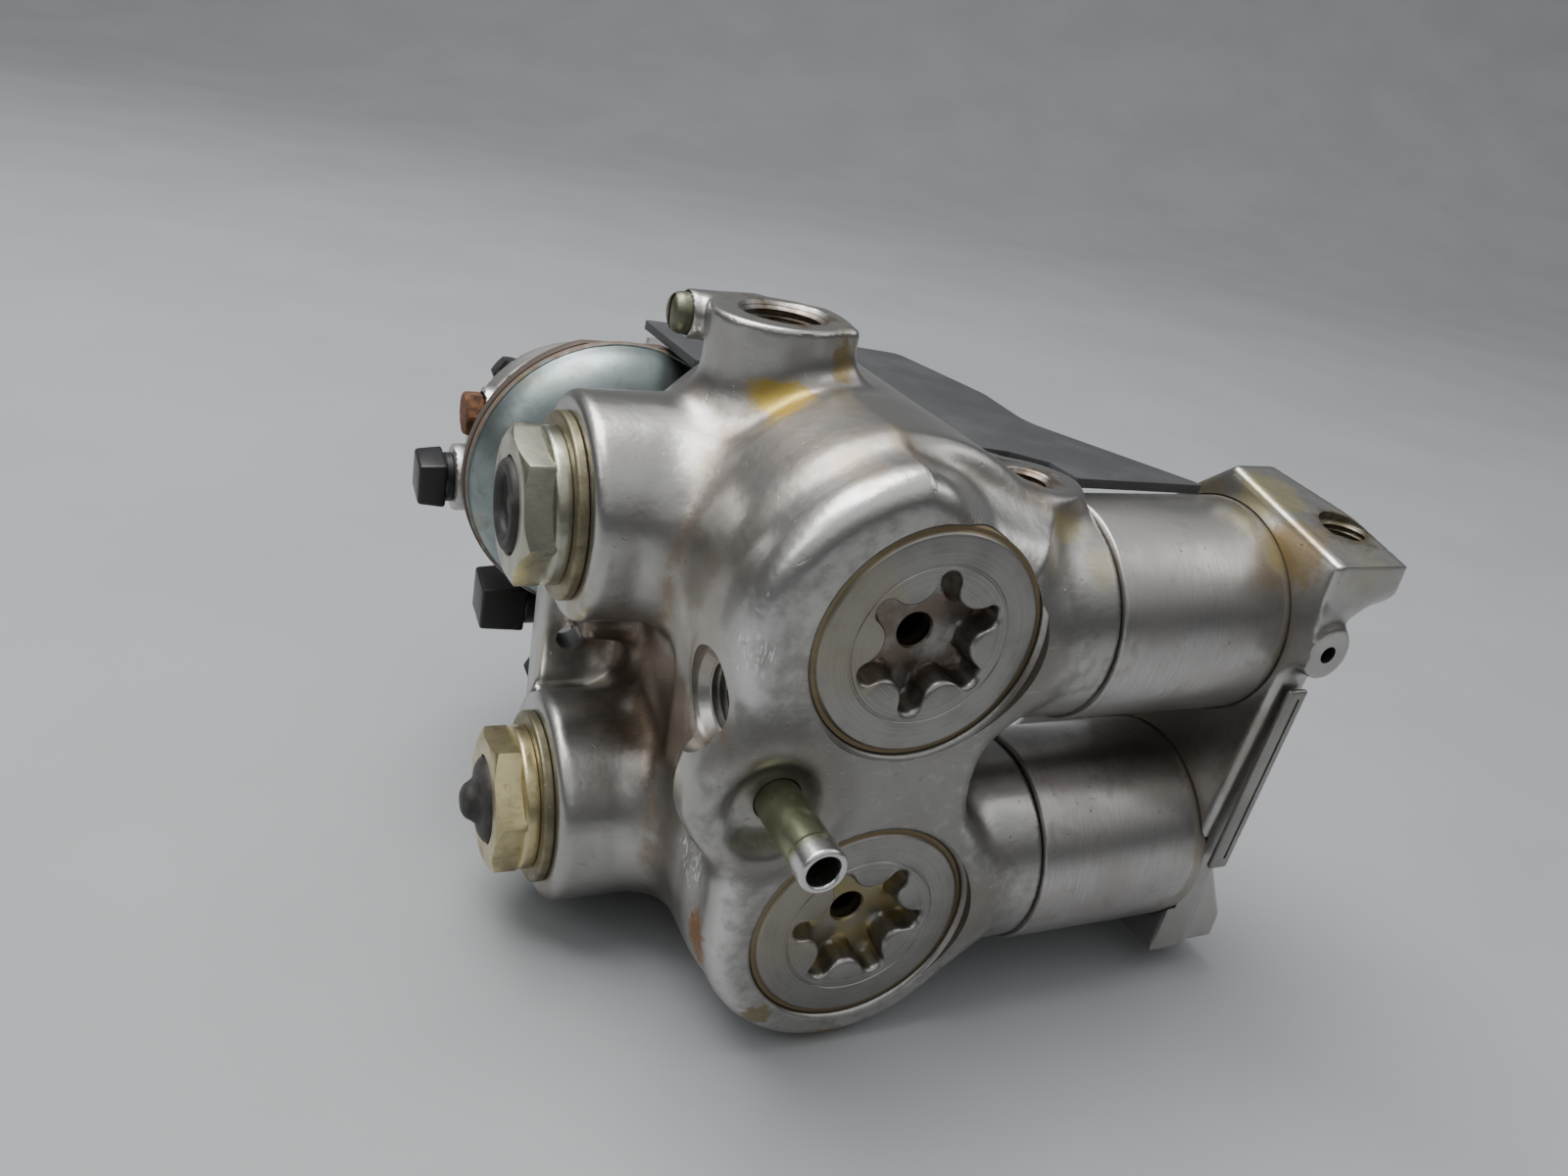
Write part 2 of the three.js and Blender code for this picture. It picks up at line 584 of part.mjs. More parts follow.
// Pressed dome with a narrow rim, open at the back.
function domeCover() {
  const outer = [];
  const inner = [];
  const steps = 6;
  for (let i = 0; i <= steps; i += 1) {
    const angle = i / steps * Math.PI / 2;
    const fullness = Math.sin(angle) ** 0.85;
    outer.push([32.8 * fullness, 103 - 16.5 * Math.cos(angle)]);
    inner.push([30.8 * fullness, 103 - 14.5 * Math.cos(angle)]);
  }
  const rim = [[DOME_R, 101.6], [DOME_R, 103]];
  return turned('y', [...outer.slice(0, -1), [32.7, 101.6], ...rim, ...inner.reverse()],
    [CASE_X, DOME_Z], TUBE_ROUND);
}

function spurGear(z, turn) {
  const baseR = PITCH_R * Math.cos(GEAR_PRESSURE);
  const rootR = PITCH_R - 1.25 * GEAR_MODULE;
  const involute = (r) => {
    const a = Math.acos(Math.min(1, baseR / r));
    return Math.tan(a) - a;
  };
  const halfTooth = Math.PI / (2 * GEAR_TEETH) - GEAR_BACKLASH / PITCH_R;
  const flank = [rootR, baseR, (baseR + PITCH_R) / 2, PITCH_R, (PITCH_R + TIP_R) / 2, TIP_R];
  const corners = [];
  for (let tooth = 0; tooth < GEAR_TEETH; tooth += 1) {
    const middle = turn + tooth * 2 * Math.PI / GEAR_TEETH;
    const halves = flank.map((r) => halfTooth + involute(PITCH_R) - involute(Math.max(r, baseR)));
    flank.forEach((r, i) => corners.push([r, middle - halves[i]]));
    [...flank.keys()].reverse().forEach((i) => corners.push([flank[i], middle + halves[i]]));
  }
  const outline = corners.map(([r, a]) => [CASE_X + r * Math.cos(a), z + r * Math.sin(a)]);
  return prism('y', outline, GEAR_FRONT_Y, GEAR_BACK_Y)
    .subtract(rod('y', SHAFT_R + GAP, GEAR_FRONT_Y - 1, GEAR_BACK_Y + 1, [CASE_X, z], SMALL_ROUND));
}

function buildGears() {
  const upright = Math.PI / 2;
  const halfPitch = Math.PI / GEAR_TEETH;
  const driveAt = [CASE_X, DRIVE_Z];
  const drivenAt = [CASE_X, DRIVEN_Z];
  add('drive_gear', spurGear(DRIVE_Z, upright), materials.gearSteel);
  add('driven_gear', spurGear(DRIVEN_Z, upright + halfPitch), materials.gearSteel);
  const shaft = rod('y', SHAFT_R, 107.5, SHAFT_END_Y, driveAt, SMALL_ROUND);
  const flats = union([
    block(CASE_X + 3.5, CASE_X + 8, 147, SHAFT_END_Y + 1, DRIVE_Z - 8, DRIVE_Z + 8),
    block(CASE_X - 8, CASE_X - 3.5, 147, SHAFT_END_Y + 1, DRIVE_Z - 8, DRIVE_Z + 8),
  ]);
  add('drive_shaft', shaft.subtract(flats), materials.gearSteel);
  add('driven_shaft', rod('y', SHAFT_R, 107.5, 129.4, drivenAt, SMALL_ROUND), materials.gearSteel);
  for (const [gear, at] of [['drive', driveAt], ['driven', drivenAt]]) {
    const frontBush = ring('y', 8, SHAFT_R + GAP, CASE_FRONT_Y + GAP, 111.9, at, SMALL_ROUND);
    add(`${gear}_front_bush`, frontBush, materials.bronze);
  }
  // The two rear bushes meet in a flat between the shafts.
  const flatZ = CASE_Z;
  const below = block(-80, 20, 120, 135, flatZ - 60, flatZ - 0.2);
  const above = block(-80, 20, 120, 135, flatZ + 0.2, flatZ + 60);
  const rearBush = (at) => ring('y', TIP_R, SHAFT_R + GAP, GEAR_BACK_Y + 0.4, 129.8, at);
  add('drive_rear_bush', rearBush(driveAt).intersect(below), materials.bronze);
  add('driven_rear_bush', rearBush(drivenAt).intersect(above), materials.bronze);
}

function rearCover() {
  const at = [CASE_X, CASE_Z];
  const drive = [CASE_X, DRIVE_Z];
  let cover = union([
    rod('y', CASE_R, CASE_BACK_Y + GAP, COVER_BACK_Y, at, TUBE_ROUND),
    rod('y', 12.8, COVER_BACK_Y - 1, COVER_BACK_Y + 5, drive),
  ]);
  cover = cover.subtract(rod('y', SHAFT_R + 0.6, CASE_BACK_Y - 1, COVER_BACK_Y + 6, drive, SMALL_ROUND));
  cover = cover.subtract(rod('y', 9.9, 136, COVER_BACK_Y + 6, drive));
  for (const place of coverBoltPlaces) {
    cover = cover.subtract(rod('y', 3.4, CASE_BACK_Y - 1, COVER_BACK_Y + 6, place, SMALL_ROUND));
  }
  return cover;
}

// Screw along an axis, its head a polygon of corner radius `headR`. The head's underside is at
// `seat`, and `side` is the way that the head points from there.
function headedScrew(sides, axis, at, seat, side, headR, headHeight, shankR, shankLength) {
  const [h0, h1] = [seat, seat + side * headHeight].sort((a, b) => a - b);
  const [s0, s1] = [seat + side, seat - side * shankLength].sort((a, b) => a - b);
  return prism(axis, polygon(sides, headR, at, HEAD_TURN), h0, h1)
    .add(rod(axis, shankR, s0, s1, at, SMALL_ROUND));
}

const bracketScrewPlaces = [[12, 94], [12, 112]];

function buildPumpSection() {
  add('pump_housing', pumpHousing(), materials.casting);
  add('dome_cover', domeCover(), materials.blueZinc);
  // The clamp ring's top is flattened under the bracket.
  const underBracket = block(-80, 20, 100, 110, -60, BRACKET_Z - 2 * GAP);
  const domeAt = [CASE_X, DOME_Z];
  const clampRing = ring('y', 33.8, 29.4, 103.3, 106, domeAt, TUBE_ROUND).intersect(underBracket);
  add('clamp_ring', clampRing, materials.blackSteel);
  add('rear_cover', rearCover(), materials.casting);
  add('shaft_seal', ring('y', 9.6, SHAFT_R + GAP, 136.3, 142.6, [CASE_X, DRIVE_Z]),
    materials.rubber);
  coverBoltPlaces.forEach((place, i) => {
    const bolt = headedScrew(6, 'y', place, COVER_BACK_Y + GAP, 1, 4.6, 4, 2.6, 16);
    add(`cover_bolt_${i + 1}`, bolt, materials.blackSteel);
  });
  throughBoltPlaces.forEach((place, i) => {
    const seat = CASE_BACK_Y + GAP;
    const bolt = headedScrew(6, 'y', place, seat, 1, 6.2, 5, 2.9, seat - BOLT_TIP_Y);
    add(`through_bolt_${i + 1}`, bolt, materials.blackSteel);
  });
  for (const { name, at: place, seat, sides, headR, height, shankR, material } of sidePlugs) {
    const plug = headedScrew(sides, 'x', place, seat - GAP, -1, headR, height, shankR, 8);
    add(name, plug, material);
  }
}

function buildBracket() {
  const outline = [
    [BRACKET_LEFT_X, 118], [-18, 85.5], [27.5, 85.5], [28.5, 42], [36, 40.5], [43, 35.5],
    [44, 27], [78.5, 28.5], [78.5, 30.5], [55.7, 64], [56.9, 84.2], [48.8, 115], [36, 117],
  ];
  let plate = prism('z', outline, BRACKET_Z, BRACKET_Z + BRACKET_THICKNESS);
  for (const [x, y] of bracketScrewPlaces) {
    plate = plate.subtract(rod('z', 3.3, BRACKET_Z - 1, BRACKET_Z + 3, [x, y], SMALL_ROUND));
  }
  plate = plate.translate([-BRACKET_LEFT_X, 0, -BRACKET_Z])
    .rotate([0, BRACKET_TILT, 0])
    .translate([BRACKET_LEFT_X, 0, BRACKET_Z]);
  add('top_bracket', plate, materials.darkPlate);
  const spacer = (place) => ring('z', 6, 3.3, 18.3, 20.5, place, SMALL_ROUND);
  bracketScrewPlaces.forEach((place, i) => {
    const seat = 23.7; // just above the plate's high side under the head
    add(`bracket_spacer_${i + 1}`, spacer(place), materials.rubber);
    const screw = headedScrew(6, 'z', place, seat, 1, 5.6, 4, 2.6, 15);
    add(`bracket_screw_${i + 1}`, screw, materials.blackSteel);
  });
}

// ---------------------------------------------------------------- assembly

add('valve_body', valveBody(), materials.casting);
buildPlugs();
buildTubes();
buildAdapters();
buildFittings();
buildEndBlock();
buildPumpSection();
buildGears();
buildBracket();

// The finished unit stands on z = 0 with its bounding box centred on the Z axis.
const bounds = new THREE.Box3().setFromObject(pump);
const middle = bounds.getCenter(new THREE.Vector3());
pump.position.set(-middle.x, -middle.y, -bounds.min.z);

export default new THREE.Group().add(pump);
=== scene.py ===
"""Looks of a hydraulic gear pump unit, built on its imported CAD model.

Lengths are in millimetres in pump coordinates: the origin is the centre of the upper star plug's
face, +X runs along the tubes, +Y runs back into the unit and +Z is up. to_row() turns them into
the model's metres.
"""

import math

import bmesh
import bpy
import numpy as np
from mathutils import Matrix, Vector


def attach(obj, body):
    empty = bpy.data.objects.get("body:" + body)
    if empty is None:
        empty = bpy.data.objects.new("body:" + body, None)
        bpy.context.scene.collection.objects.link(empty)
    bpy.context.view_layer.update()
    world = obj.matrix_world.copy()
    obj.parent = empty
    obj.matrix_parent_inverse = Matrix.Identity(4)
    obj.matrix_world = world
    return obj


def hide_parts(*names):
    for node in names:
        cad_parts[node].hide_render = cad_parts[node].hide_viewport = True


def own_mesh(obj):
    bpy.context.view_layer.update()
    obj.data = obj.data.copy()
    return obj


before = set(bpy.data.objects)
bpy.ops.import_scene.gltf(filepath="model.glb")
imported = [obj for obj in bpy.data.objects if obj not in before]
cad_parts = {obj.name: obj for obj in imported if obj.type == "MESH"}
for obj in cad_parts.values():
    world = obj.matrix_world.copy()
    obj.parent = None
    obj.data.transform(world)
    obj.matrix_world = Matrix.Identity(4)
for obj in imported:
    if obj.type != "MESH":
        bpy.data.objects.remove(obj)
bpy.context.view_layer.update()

OFFSET = np.array([-16.35, -70.0, 94.0])  # pump coordinates to the row frame, mm

# Dimensions shared with the CAD model.
UPPER_PLUG_Z, LOWER_PLUG_Z = 0.0, -63.0
PLUG_BORE_R = 23.0
TUBE_Y, UPPER_TUBE_Z, LOWER_TUBE_Z = 22.0, -4.5, -62.0
TUBE_R, TUBE_BORE_R, TUBE_START_X, TUBE_END_X = 23.3, 20.5, 42.08, 85.7
TUBE_ZS = (UPPER_TUBE_Z, LOWER_TUBE_Z)
TUBE_BOSS_R, TUBE_BOSS_END, SPIGOT_R = 22.4, 42.0, 20.1
ADAPTER_Y, UPPER_ADAPTER_Z, LOWER_ADAPTER_Z = 56.0, 2.5, -65.5
ADAPTER_ZS = (UPPER_ADAPTER_Z, LOWER_ADAPTER_Z)
ADAPTER_BOSS_R, ADAPTER_BOSS_X = 22.7, -52.0
PORT_X, PORT_TOP_Z, PORT_BOSS_R, PORT_BORE_R = -13.0, 43.6, 13.7, 8.6
SIDE_PORT = (12.5, -15.5)
SIDE_PORT_X = -34.0
BLEED = (69.0, 38.6)
GAUGE, GAUGE_TOP_Z = (30.5, 26.5), 22.0
NIPPLE_AT = (-22.5, -32.0)
FLANGE_FRONT_Y, FLANGE_BACK_Y = 76.0, 84.0
END_X = 84.0
BASE_Z = -94.0
DOME_Z, DOME_R = -10.5, 33.4
CASE_X, CASE_Z, CASE_R = -29.0, -14.5, 27.5
HOUSING_FRONT_Y, CASE_FRONT_Y, CASE_BACK_Y, COVER_BACK_Y = 84.3, 106.3, 130.0, 138.0
GEAR_PITCH_R = 10.8
DRIVE_Z = CASE_Z - GEAR_PITCH_R
BRACKET_Z, BRACKET_LEFT_X, BRACKET_TILT = 22.5, -20.0, math.radians(2.58)
THROUGH_BOLTS = [(-31, -80), (37, -80), (37, 5)]
COVER_BOLTS = [
    (CASE_X + 24 * math.cos(math.radians(a)), CASE_Z + 24 * math.sin(math.radians(a)))
    for a in (45, 135, 225, 315)
]
BRACKET_SCREWS = [(12, 94), (12, 112)]
JOINT_GAP = 0.3
COVER_FRONT_Y = THROUGH_SEAT_Y = CASE_BACK_Y + JOINT_GAP
COVER_SEAT_Y = COVER_BACK_Y + JOINT_GAP
BRACKET_SCREW_SEAT_Z = BRACKET_Z + 1.2
BRACKET_THICKNESS = 2
GEAR_CHAMBER_R, GEAR_CHAMBER_Y, BUSH_BORE_R = 12.9, 112, 8.3
HEAD_TURN = math.radians(51.4)  # how far the screw and plug heads stand turned
AXIS_INDEX = {"x": 0, "y": 1, "z": 2}

# ---------------------------------------------------------------- camera


VIEW_FROM = (-0.1276, -0.2253, 0.1860)  # metres, in the row frame
VIEW_ALONG, VIEW_UP = (0.419, 0.808, -0.415), (0.020, 0.448, 0.894)
LENS_MM = 27.6


def place_camera():
    data = bpy.data.cameras.new("camera")
    data.lens = LENS_MM
    data.sensor_width = 36
    data.dof.use_dof = False
    camera = bpy.data.objects.new("camera", data)
    bpy.context.scene.collection.objects.link(camera)
    back = -Vector(VIEW_ALONG).normalized()
    right = Vector(VIEW_UP).cross(back).normalized()
    up = back.cross(right)
    turn = Matrix((right, up, back)).transposed().to_4x4()
    camera.matrix_world = Matrix.Translation(VIEW_FROM) @ turn
    bpy.context.scene.camera = camera


place_camera()

# ---------------------------------------------------------------- shader graphs


class Look:
    """A Principled material that is built up in layers. Patterns are measured in millimetres."""

    def __init__(self, name, colour, roughness, metallic=1.0):
        self.material = bpy.data.materials.new(name)
        self.material.use_nodes = True
        self.tree = self.material.node_tree
        self.tree.nodes.clear()
        self.colour, self.roughness, self.metallic = colour, roughness, metallic
        self.height = 0.0
        coordinates = self.node("ShaderNodeTexCoord").outputs["Object"]
        self.mm = self.vector("MULTIPLY", coordinates, (1000, 1000, 1000))

    def node(self, kind, settings=None, inputs=None):
        node = self.tree.nodes.new(kind)
        for key, value in (settings or {}).items():
            setattr(node, key, value)
        for key, value in (inputs or {}).items():
            if isinstance(value, bpy.types.NodeSocket):
                self.tree.links.new(value, node.inputs[key])
            elif node.inputs[key].type == "RGBA":
                node.inputs[key].default_value = (*value, 1)
            else:
                node.inputs[key].default_value = value
        return node

    def vector(self, operation, a, b=(0, 0, 0)):
        node = self.node("ShaderNodeVectorMath", {"operation": operation}, {0: a, 1: b})
        return node.outputs["Value" if operation == "LENGTH" else "Vector"]

    def math(self, operation, a, b=0.0):
        return self.node("ShaderNodeMath", {"operation": operation}, {0: a, 1: b}).outputs[0]

    def ramp(self, value, low, high):
        """0 below low, 1 above high, and smooth between."""
        settings = {"interpolation_type": "SMOOTHSTEP", "clamp": True}
        inputs = {"Value": value, "From Min": low, "From Max": high}
        if low > high:
            inputs = {
                "Value": value, "From Min": high, "From Max": low, "To Min": 1.0, "To Max": 0.0,
            }
        return self.node("ShaderNodeMapRange", settings, inputs).outputs[0]

    def at(self, point):
        """A place given in pump coordinates, in the millimetres that the patterns use."""
        return tuple(float(p + o) for p, o in zip(point, OFFSET))

    def noise(self, size, detail=3.0, roughness=0.55, stretch=(1, 1, 1), distortion=0.0):
        """Cloud noise with features of about `size` millimetres, longer where stretch is."""
        place = self.vector("MULTIPLY", self.mm, tuple(1 / (size * s) for s in stretch))
        inputs = {
            "Vector": place, "Scale": 1.0, "Detail": detail, "Roughness": roughness,
            "Distortion": distortion,
        }
        return self.node("ShaderNodeTexNoise", None, inputs).outputs[0]

    def patches(self, low, high, *noise, **shape):
        """Cloud noise that is 0 below low and 1 above high."""
        return self.ramp(self.noise(*noise, **shape), low, high)

    def attribute(self, name):
        return self.node("ShaderNodeAttribute", {"attribute_name": name}).outputs["Fac"]

    def component(self, axis):
        node = self.node("ShaderNodeSeparateXYZ", None, {0: self.mm})
        return node.outputs[AXIS_INDEX[axis]]

    def blob(self, point, radius, ragged=0.5, size=4.0, stretch=(1, 1, 1)):
        """1 near a place and 0 beyond radius, with a ragged edge."""
        centre = self.at(point)
        offset = self.vector("SUBTRACT", self.mm, centre)
        offset = self.vector("MULTIPLY", offset, tuple(1 / (radius * s) for s in stretch))
        distance = self.vector("LENGTH", offset)
        wobble = self.math("MULTIPLY", self.math("SUBTRACT", self.noise(size), 0.5), 2 * ragged)
        return self.ramp(self.math("ADD", distance, wobble), 1.0, 0.55)

    def radial(self, axis, at):
        """Distance from a line along an axis. at is the two coordinates across it."""
        places = {"x": (0, *at), "y": (at[0], 0, at[1]), "z": (*at, 0)}[axis]
        keep = tuple(0.0 if i == AXIS_INDEX[axis] else 1.0 for i in range(3))
        offset = self.vector("SUBTRACT", self.mm, self.at(places))
        return self.vector("LENGTH", self.vector("MULTIPLY", offset, keep))

    def mixed(self, factor, a, b, colour):
        if colour:
            node = self.node("ShaderNodeMix", {"data_type": "RGBA"}, {0: factor})
            for index, value in ((6, a), (7, b)):
                if isinstance(value, bpy.types.NodeSocket):
                    self.tree.links.new(value, node.inputs[index])
                else:
                    node.inputs[index].default_value = (*value, 1)
            return node.outputs[2]
        inputs = {0: factor, 2: a, 3: b}
        return self.node("ShaderNodeMix", {"data_type": "FLOAT"}, inputs).outputs[0]

    def layer(self, factor, colour=None, roughness=None, metallic=None, amount=1.0):
        """Lays a colour and finish over what is there, as far as factor says."""
        if amount != 1.0:
            factor = self.math("MULTIPLY", factor, amount)
        if colour is not None:
            self.colour = self.mixed(factor, self.colour, colour, True)
        if roughness is not None:
            self.roughness = self.mixed(factor, self.roughness, roughness, False)
        if metallic is not None:
            self.metallic = self.mixed(factor, self.metallic, metallic, False)
        return self

    def raise_by(self, value, depth):
        """Adds to the bump height: value times depth, in millimetres."""
        self.height = self.math("ADD", self.height, self.math("MULTIPLY", value, depth))
        return self

    def finish(self):
        inputs = {
            "Base Color": self.colour, "Roughness": self.roughness, "Metallic": self.metallic,
        }
        if isinstance(self.height, bpy.types.NodeSocket):
            bumps = {"Strength": 1.0, "Distance": 0.001, "Height": self.height}
            inputs["Normal"] = self.node("ShaderNodeBump", None, bumps).outputs[0]
        shader = self.node("ShaderNodeBsdfPrincipled", None, inputs)
        output = self.node("ShaderNodeOutputMaterial")
        self.tree.links.new(shader.outputs[0], output.inputs[0])
        return self.material


def scaled(colour, factor):
    return tuple(factor * c for c in colour)


def cast_look(name, stains_and_shade=(), base=(0.42, 0.41, 0.393), roughness=0.33, blasted=0.0, scrapes=()):
    """Satin cast metal: soft mottling, fine pits, oil in hollows, listed spots of stain and painted
    shade.
    """
    look = Look(name, base, roughness)
    cloud = look.patches(0.38, 0.68, 18, 3)
    look.layer(cloud, scaled(base, 1.18), roughness - 0.04)
    warm = look.patches(0.5, 0.8, 11, 4, distortion=0.5)
    look.layer(warm, (0.37, 0.335, 0.295), roughness + 0.06, amount=0.35)
    grime = look.math("MULTIPLY", look.attribute("hollow"), look.patches(0.22, 0.6, 7, 4))
    look.layer(grime, (0.2, 0.15, 0.1), roughness + 0.1, 0.92, amount=0.75)
    look.layer(look.attribute("rim"), (0.78, 0.77, 0.75), 0.24, amount=0.5)
    # The listed spots are stains, and some are painted shade, as the lists mark.
    for place, radius, colour, amount, stretch in stains_and_shade:
        spot = look.blob(place, radius, 0.55, max(1.5, radius * 0.35), stretch)
        look.layer(spot, colour, 0.38, 0.85, amount=amount)
    for place, radius in scrapes:
        lines = look.patches(0.56, 0.62, 0.45, 2, stretch=(1, 1, 5), distortion=0.4)
        spot = look.math("MULTIPLY", look.blob(place, radius, 0.4, 2), lines)
        look.layer(spot, (0.85, 0.85, 0.84), 0.5, 0.4, amount=0.85)
    specks = look.patches(0.69, 0.76, 1.7, 2)
    look.layer(specks, (0.14, 0.12, 0.1), 0.5, 0.8, amount=0.3)
    streak = look.patches(0.6, 0.75, 0.5, 2, stretch=(9, 1, 1))
    look.layer(streak, scaled(base, 1.3), roughness - 0.06, amount=0.3)
    look.raise_by(look.noise(0.9, 3), 0.028 + 0.05 * blasted)
    look.raise_by(look.noise(5.5, 2), 0.14 + 0.1 * blasted)
    look.raise_by(specks, -0.03)
    return look.finish()


def turned_look(name, axis, at, base, roughness, pitch=0.5, stain=None, amount=0.5):
    """Machined metal with fine rings about an axis, and a patchy stain."""
    look = Look(name, base, roughness)
    distance = look.radial(axis, at)
    along = look.component(axis)
    places = {0: look.math("DIVIDE", distance, pitch), 1: look.math("DIVIDE", along, pitch)}
    vector = look.node("ShaderNodeCombineXYZ", None, places).outputs[0]
    inputs = {"Vector": vector, "Scale": 1.0, "Detail": 2.0}
    rings = look.node("ShaderNodeTexNoise", {"noise_dimensions": "2D"}, inputs).outputs[0]
    look.layer(look.ramp(rings, 0.4, 0.7), scaled(base, 0.82), roughness + 0.07)
    patches = look.patches(0.42, 0.7, 8, 4)
    look.layer(patches, scaled(base, 0.72), roughness + 0.1, amount=0.5)
    if stain:
        film = look.patches(0.48, 0.66, 7, 4, distortion=0.8)
        look.layer(film, stain, 0.42, 0.6, amount=amount)
    scratch = look.patches(0.7, 0.8, 0.35, 1, stretch=(1, 14, 5))
    look.layer(scratch, scaled(base, 1.35), 0.3, amount=0.5)
    look.raise_by(rings, 0.012)
    look.raise_by(look.noise(1.2, 2), 0.012)
    return look.finish()


def plated_look(name, base, roughness, dirt=(0.1, 0.075, 0.04), amount=0.5, size=6):
    """Zinc or brass finish: patchy passivation, dirt and small bright chips."""
    look = Look(name, base, roughness)
    look.layer(look.patches(0.4, 0.72, size, 4), scaled(base, 0.7), roughness + 0.1)
    look.layer(
        look.patches(0.52, 0.72, size * 0.7, 5, distortion=1), dirt, 0.5, 0.5, amount=amount
    )
    chips = look.patches(0.7, 0.76, 0.9, 2)
    look.layer(chips, (0.72, 0.7, 0.65), 0.3, 1.0, amount=0.5)
    look.raise_by(look.noise(0.8, 3), 0.03)
    look.raise_by(look.noise(4, 2), 0.06)
    return look.finish()


def painted_look(name, base, roughness, dust=(0.2, 0.19, 0.17), grain=0.04):
    """Matte black or grey coating with dust, rubbed spots and a fine grain."""
    look = Look(name, base, roughness, 0.1)
    look.layer(look.patches(0.4, 0.75, 12, 4), scaled(base, 1.35), roughness + 0.08)
    look.layer(look.patches(0.62, 0.76, 1.3, 3), dust, 0.8, 0.0, amount=0.35)
    rub = look.patches(0.68, 0.78, 0.5, 2, stretch=(8, 1, 3))
    look.layer(rub, scaled(base, 2.2), roughness - 0.12, amount=0.3)
    look.raise_by(look.noise(0.35, 2), grain)
    look.raise_by(look.noise(6, 2), 0.08)
    return look.finish()


def rubber_look(name):
    look = Look(name, (0.018, 0.017, 0.016), 0.55, 0.0)
    look.layer(look.patches(0.45, 0.75, 3, 4), (0.055, 0.048, 0.04), 0.75)
    look.layer(look.patches(0.55, 0.75, 5, 3), (0.09, 0.065, 0.035), 0.6, amount=0.35)
    look.raise_by(look.noise(0.7, 3), 0.04)
    return look.finish()


def rust_look(name):
    look = Look(name, (0.1, 0.045, 0.022), 0.85, 0.15)
    look.layer(look.patches(0.45, 0.65, 2.2, 5), (0.21, 0.095, 0.04), 0.92, 0.0)
    look.layer(look.patches(0.6, 0.7, 1.1, 3), (0.03, 0.022, 0.018), 0.7, 0.3)
    look.raise_by(look.noise(0.9, 5), 0.22)
    return look.finish()


# ---------------------------------------------------------------- mesh building


def to_row(points):
    return (np.asarray(points, float) + OFFSET) / 1000


def mesh_object(name, points, faces, material, sharp=32):
    mesh = bpy.data.meshes.new(name)
    mesh.from_pydata(to_row(points).tolist(), [], [list(map(int, f)) for f in faces])
    mesh.validate()
    work = bmesh.new()
    work.from_mesh(mesh)
    bmesh.ops.recalc_face_normals(work, faces=work.faces)
    work.to_mesh(mesh)
    work.free()
    piece = bpy.data.objects.new(name, mesh)
    bpy.context.scene.collection.objects.link(piece)
    mesh.materials.append(material)
    shade(piece, sharp)
    return piece


def shade(piece, sharp=32):
    mesh = piece.data
    mesh.polygons.foreach_set("use_smooth", [True] * len(mesh.polygons))
    mesh.set_sharp_from_angle(angle=math.radians(sharp))
    mesh.update()


def apply_modifiers(piece):
    graph = bpy.context.evaluated_depsgraph_get()
    mesh = bpy.data.meshes.new_from_object(piece.evaluated_get(graph))
    piece.modifiers.clear()
    old = piece.data
    piece.data = mesh
    bpy.data.meshes.remove(old)


def finish_piece(piece, node, body="unit"):
    """Hands a finished piece over: the CAD node it stands for, what it moves with."""
    piece.data.name = piece.name
    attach(piece, body)
    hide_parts(node)


def combine(piece, others, operation="DIFFERENCE", sharp=32):
    """Cuts away, joins or keeps the overlap with each of the others, which are used up."""
    for other in others:
        modifier = piece.modifiers.new("cut", "BOOLEAN")
        modifier.operation = operation
        modifier.solver = "EXACT"
        modifier.object = other
    bpy.context.view_layer.update()
    apply_modifiers(piece)
    for other in others:
        mesh = other.data
        bpy.data.objects.remove(other)
        bpy.data.meshes.remove(mesh)
    if piece.data.materials:
        keep = piece.data.materials[0]
        piece.data.materials.clear()
        piece.data.materials.append(keep)
        piece.data.polygons.foreach_set("material_index", [0] * len(piece.data.polygons))
    shade(piece, sharp)
    return piece


def bevelled(piece, width, segments=2, sharp=32):
    modifier = piece.modifiers.new("bevel", "BEVEL")
    modifier.width = width / 1000
    modifier.segments = segments
    modifier.limit_method = "ANGLE"
    modifier.angle_limit = math.radians(30)
    modifier.harden_normals = False
    bpy.context.view_layer.update()
    apply_modifiers(piece)
    shade(piece, sharp)
    return piece


def placed(axis, across, along, at):
    """Points from their distances across and along an axis. across holds two columns."""
    across = np.asarray(across, float)
    first, second = across[..., 0] + at[0], across[..., 1] + at[1]
    along = np.broadcast_to(along, first.shape)
    order = {"x": (along, first, second), "y": (first, along, second), "z": (first, second, along)}
    return np.stack(order[axis], -1)


def rounding(a, corner, b, steps):
    """Points from a to b that cut off the corner between them."""
    t = np.linspace(0, 1, steps + 1)[:, None]
    return [tuple(q) for q in (1 - t) ** 2 * a + 2 * t * (1 - t) * corner + t * t * b]


def soften(profile, radius, closed=False):
    """Rounds the corners of a turned profile."""
    result = []
    count = len(profile)
    for i, (r, d) in enumerate(profile):
        inner = closed or 0 < i < count - 1
        corner = np.array([r, d])
        before = np.array(profile[i - 1]) - corner
        after = np.array(profile[(i + 1) % count]) - corner
        short = min(np.linalg.norm(before), np.linalg.norm(after))
        if not inner or short < 1e-6 or r < 1e-6:
            result.append((r, d))
            continue
        cut = min(radius, 0.45 * short)
        a = corner + before / np.linalg.norm(before) * cut
        b = corner + after / np.linalg.norm(after) * cut
        result += rounding(a, corner, b, 3)
    return result


